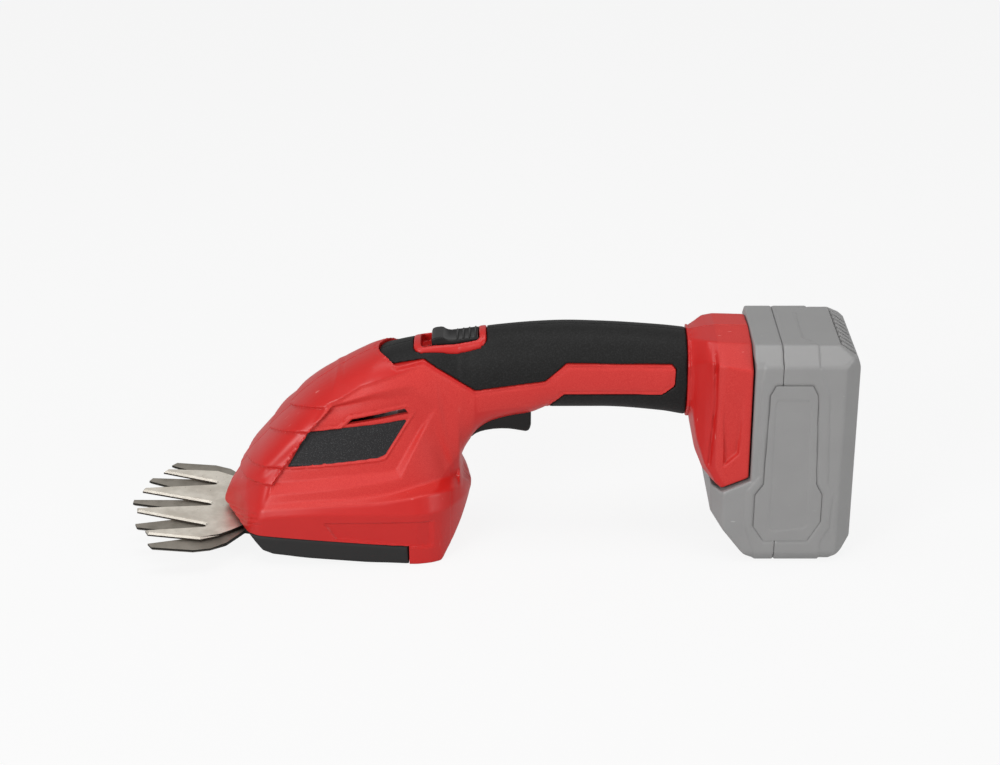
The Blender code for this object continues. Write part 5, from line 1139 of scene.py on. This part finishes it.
# ---------------------------------------------------------------- latch button
# The grey release button across the top rear edge of the pack: a plate with eight ribs, on a spring.
BUTTON_RIB = {"Count": 8, "Pitch": 6.0, "Width": 3.4, "Length": 8.6, "Height": 2.8}
BUTTON_BASE = (47.8, 8.7, 1.9)
button_ribs = grow(bpy.data.meshes.new("button_ribs"), bar_row(GREY), BUTTON_RIB, 0.45)
onto_slope = (move(BUTTON_X + SHIFT, BUTTON_Z) @ Matrix.Rotation(BUTTON_LEAN, 4, "Y")
              @ Matrix.Rotation(math.pi / 2, 4, "Z"))
button_ribs.transform(onto_slope @ move(-22.0, -1.4))
base = bmesh.new()
bmesh.ops.create_cube(base, size=1.0, matrix=Matrix.Diagonal([side * MM for side in BUTTON_BASE] + [1.0]))
bmesh.ops.bevel(base, geom=base.edges, offset=0.3 * MM, segments=2, affect="EDGES")
button_base = bpy.data.meshes.new("button_base")
base.to_mesh(button_base)
base.free()
button_base.transform(onto_slope @ move(0, -2.95))
button_mesh = carve(button_base, [button_ribs], "UNION")
dress("latch_button_cap", button_mesh, 35.0, "latch_button", ["battery_button"], GREY)

# ---------------------------------------------------------------- base cover
# A black moulded tray that closes the head from below. It is open in front, where the blades come
# out, tapers up behind the nose there, and has holes for the heads of the screws and the bolt.
COVER_REAR, COVER_WALL, COVER_FLOOR, COVER_ROUND = 68.0, 2.4, -2.3, 2.2
COVER_SIDE = [
    (-18.0, SHOE_TOP), (-13.4, -0.3), (-9.6, -4.4), (-4.0, -6.0), (15.0, -6.9), (45.0, -6.9),
    (COVER_REAR + 0.3, -5.9), (COVER_REAR - 0.5, SHOE_TOP)]
HEAD_HOLES = ((3.0, 0.0, 6.5), (7.0, 22.0, 4.2), (7.0, -22.0, 4.2))
cover_half = rail((-20, 35.5), (-12, 38.2), (0, 39.2), (80, 40.2))
cover_grid = grid((-19.4, 0.7, 68.9), (-41.3, 0.7, 41.3), (-8.3, 0.655, 6.2))
along, across, above = cover_grid
within = np.abs(across) - cover_half(along)
tray = blend_out(outline_gap(along, above, COVER_SIDE), within, COVER_ROUND)
hollow = common(within + COVER_WALL, COVER_FLOOR - above, along - COVER_REAR + COVER_WALL)
cover_mesh = carve(skin("base_cover_tray", *cover_grid, less(tray, hollow)),
                   [prism(circle(x, y, radius), -12.0, 0.0, "Z") for x, y, radius in HEAD_HOLES])
cover_mesh.transform(move(HEAD_X + SHIFT, HEAD_Z) @ Matrix.Rotation(HEAD_TILT, 4, "Y") @ move(-SHIFT, 0))
COVER = moulded_finish("satin black cover", (0.003, 0.0027, 0.0027), (0.005, 0.0046, 0.0046), 0.6)
dress("base_cover_tray", cover_mesh, 40.0, "tool", ["base_cover"], COVER)

# ---------------------------------------------------------------- blades and inner parts
# The blades are punched and ground spring steel, the gears zinc-plated steel and nylon, and the
# rest as its slot says. Their CAD shapes stay, under the finishes made here.
def blade_finish(name, low, high, dark_speck_and_shade, rough):
    finish = Finish(name)
    lines = finish.noise(0.5, 3.0, (1.0, 0.12, 1.0))
    cloud = finish.noise(11.0, 4.0, rough=0.6)
    spots_on = finish.ramp(finish.noise(1.3), 0.7, 0.76)
    colour = finish.mix(finish.ramp(cloud, 0.3, 0.7), low, high)
    colour = finish.mix(spots_on * 0.6, colour, dark_speck_and_shade)
    # Painted shade: faces that turn away from the blade's flat, its edges and bevels, are coloured dark by
    # their normal
    shade_normal = finish.value("ShaderNodeNewGeometry", output="Normal")
    up = finish.value("ShaderNodeSeparateXYZ", None, {"Vector": shade_normal}, "Z")
    colour = finish.mix(finish.ramp(up * up, 0.3, 0.8), dark_speck_and_shade, colour)
    return finish.set(Base_Color=colour, Roughness=rough + 0.16 * lines + 0.12 * cloud, Metallic=1.0,
                      Normal=finish.bump(lines, 0.012))


# The third colour is for the dark specks and also for the painted shade on the blades' edges
MOVING = blade_finish("moving blade steel", (0.70, 0.645, 0.56), (0.90, 0.85, 0.76),
                      (0.06, 0.05, 0.045), 0.32)
FIXED = blade_finish("fixed blade steel", (0.26, 0.238, 0.2), (0.37, 0.34, 0.295),
                     (0.03, 0.028, 0.025), 0.34)
BRASS = metal_finish("brass", (0.6, 0.42, 0.16), (0.7, 0.5, 0.22), 0.25)
COPPER = metal_finish("copper winding", (0.5, 0.2, 0.09), (0.6, 0.26, 0.12), 0.3)
NYLON = moulded_finish("white nylon", (0.68, 0.66, 0.6), (0.74, 0.72, 0.66), 0.4)
SLEEVE = moulded_finish("cell sleeve", (0.03, 0.1, 0.3), (0.05, 0.13, 0.36), 0.3)
WIRE_RED = moulded_finish("red wire", (0.42, 0.015, 0.015), (0.5, 0.02, 0.02), 0.4)
WIRE_BLACK = moulded_finish("black wire", (0.015, 0.015, 0.015), (0.02, 0.02, 0.02), 0.4)
by_slot = {"red_plastic": RED, "black_rubber": RUBBER, "black_plastic": BLACK, "grey_plastic": GREY,
           "ground_steel": MOVING, "zinc_steel": ZINC, "brass": BRASS, "copper_winding": COPPER,
           "white_nylon": NYLON, "cell_sleeve": SLEEVE, "red_wire": WIRE_RED, "black_wire": WIRE_BLACK}
by_node = {"fixed_blade": FIXED}
for part in frame["record"]["subparts"]:
    node = frame["nodes"][part["node"]]
    if not node.material_slots:
        node.data.materials.append(None)
    for slot in node.material_slots:
        slot.material = by_node.get(part["node"], by_slot[part["material_slot"]])
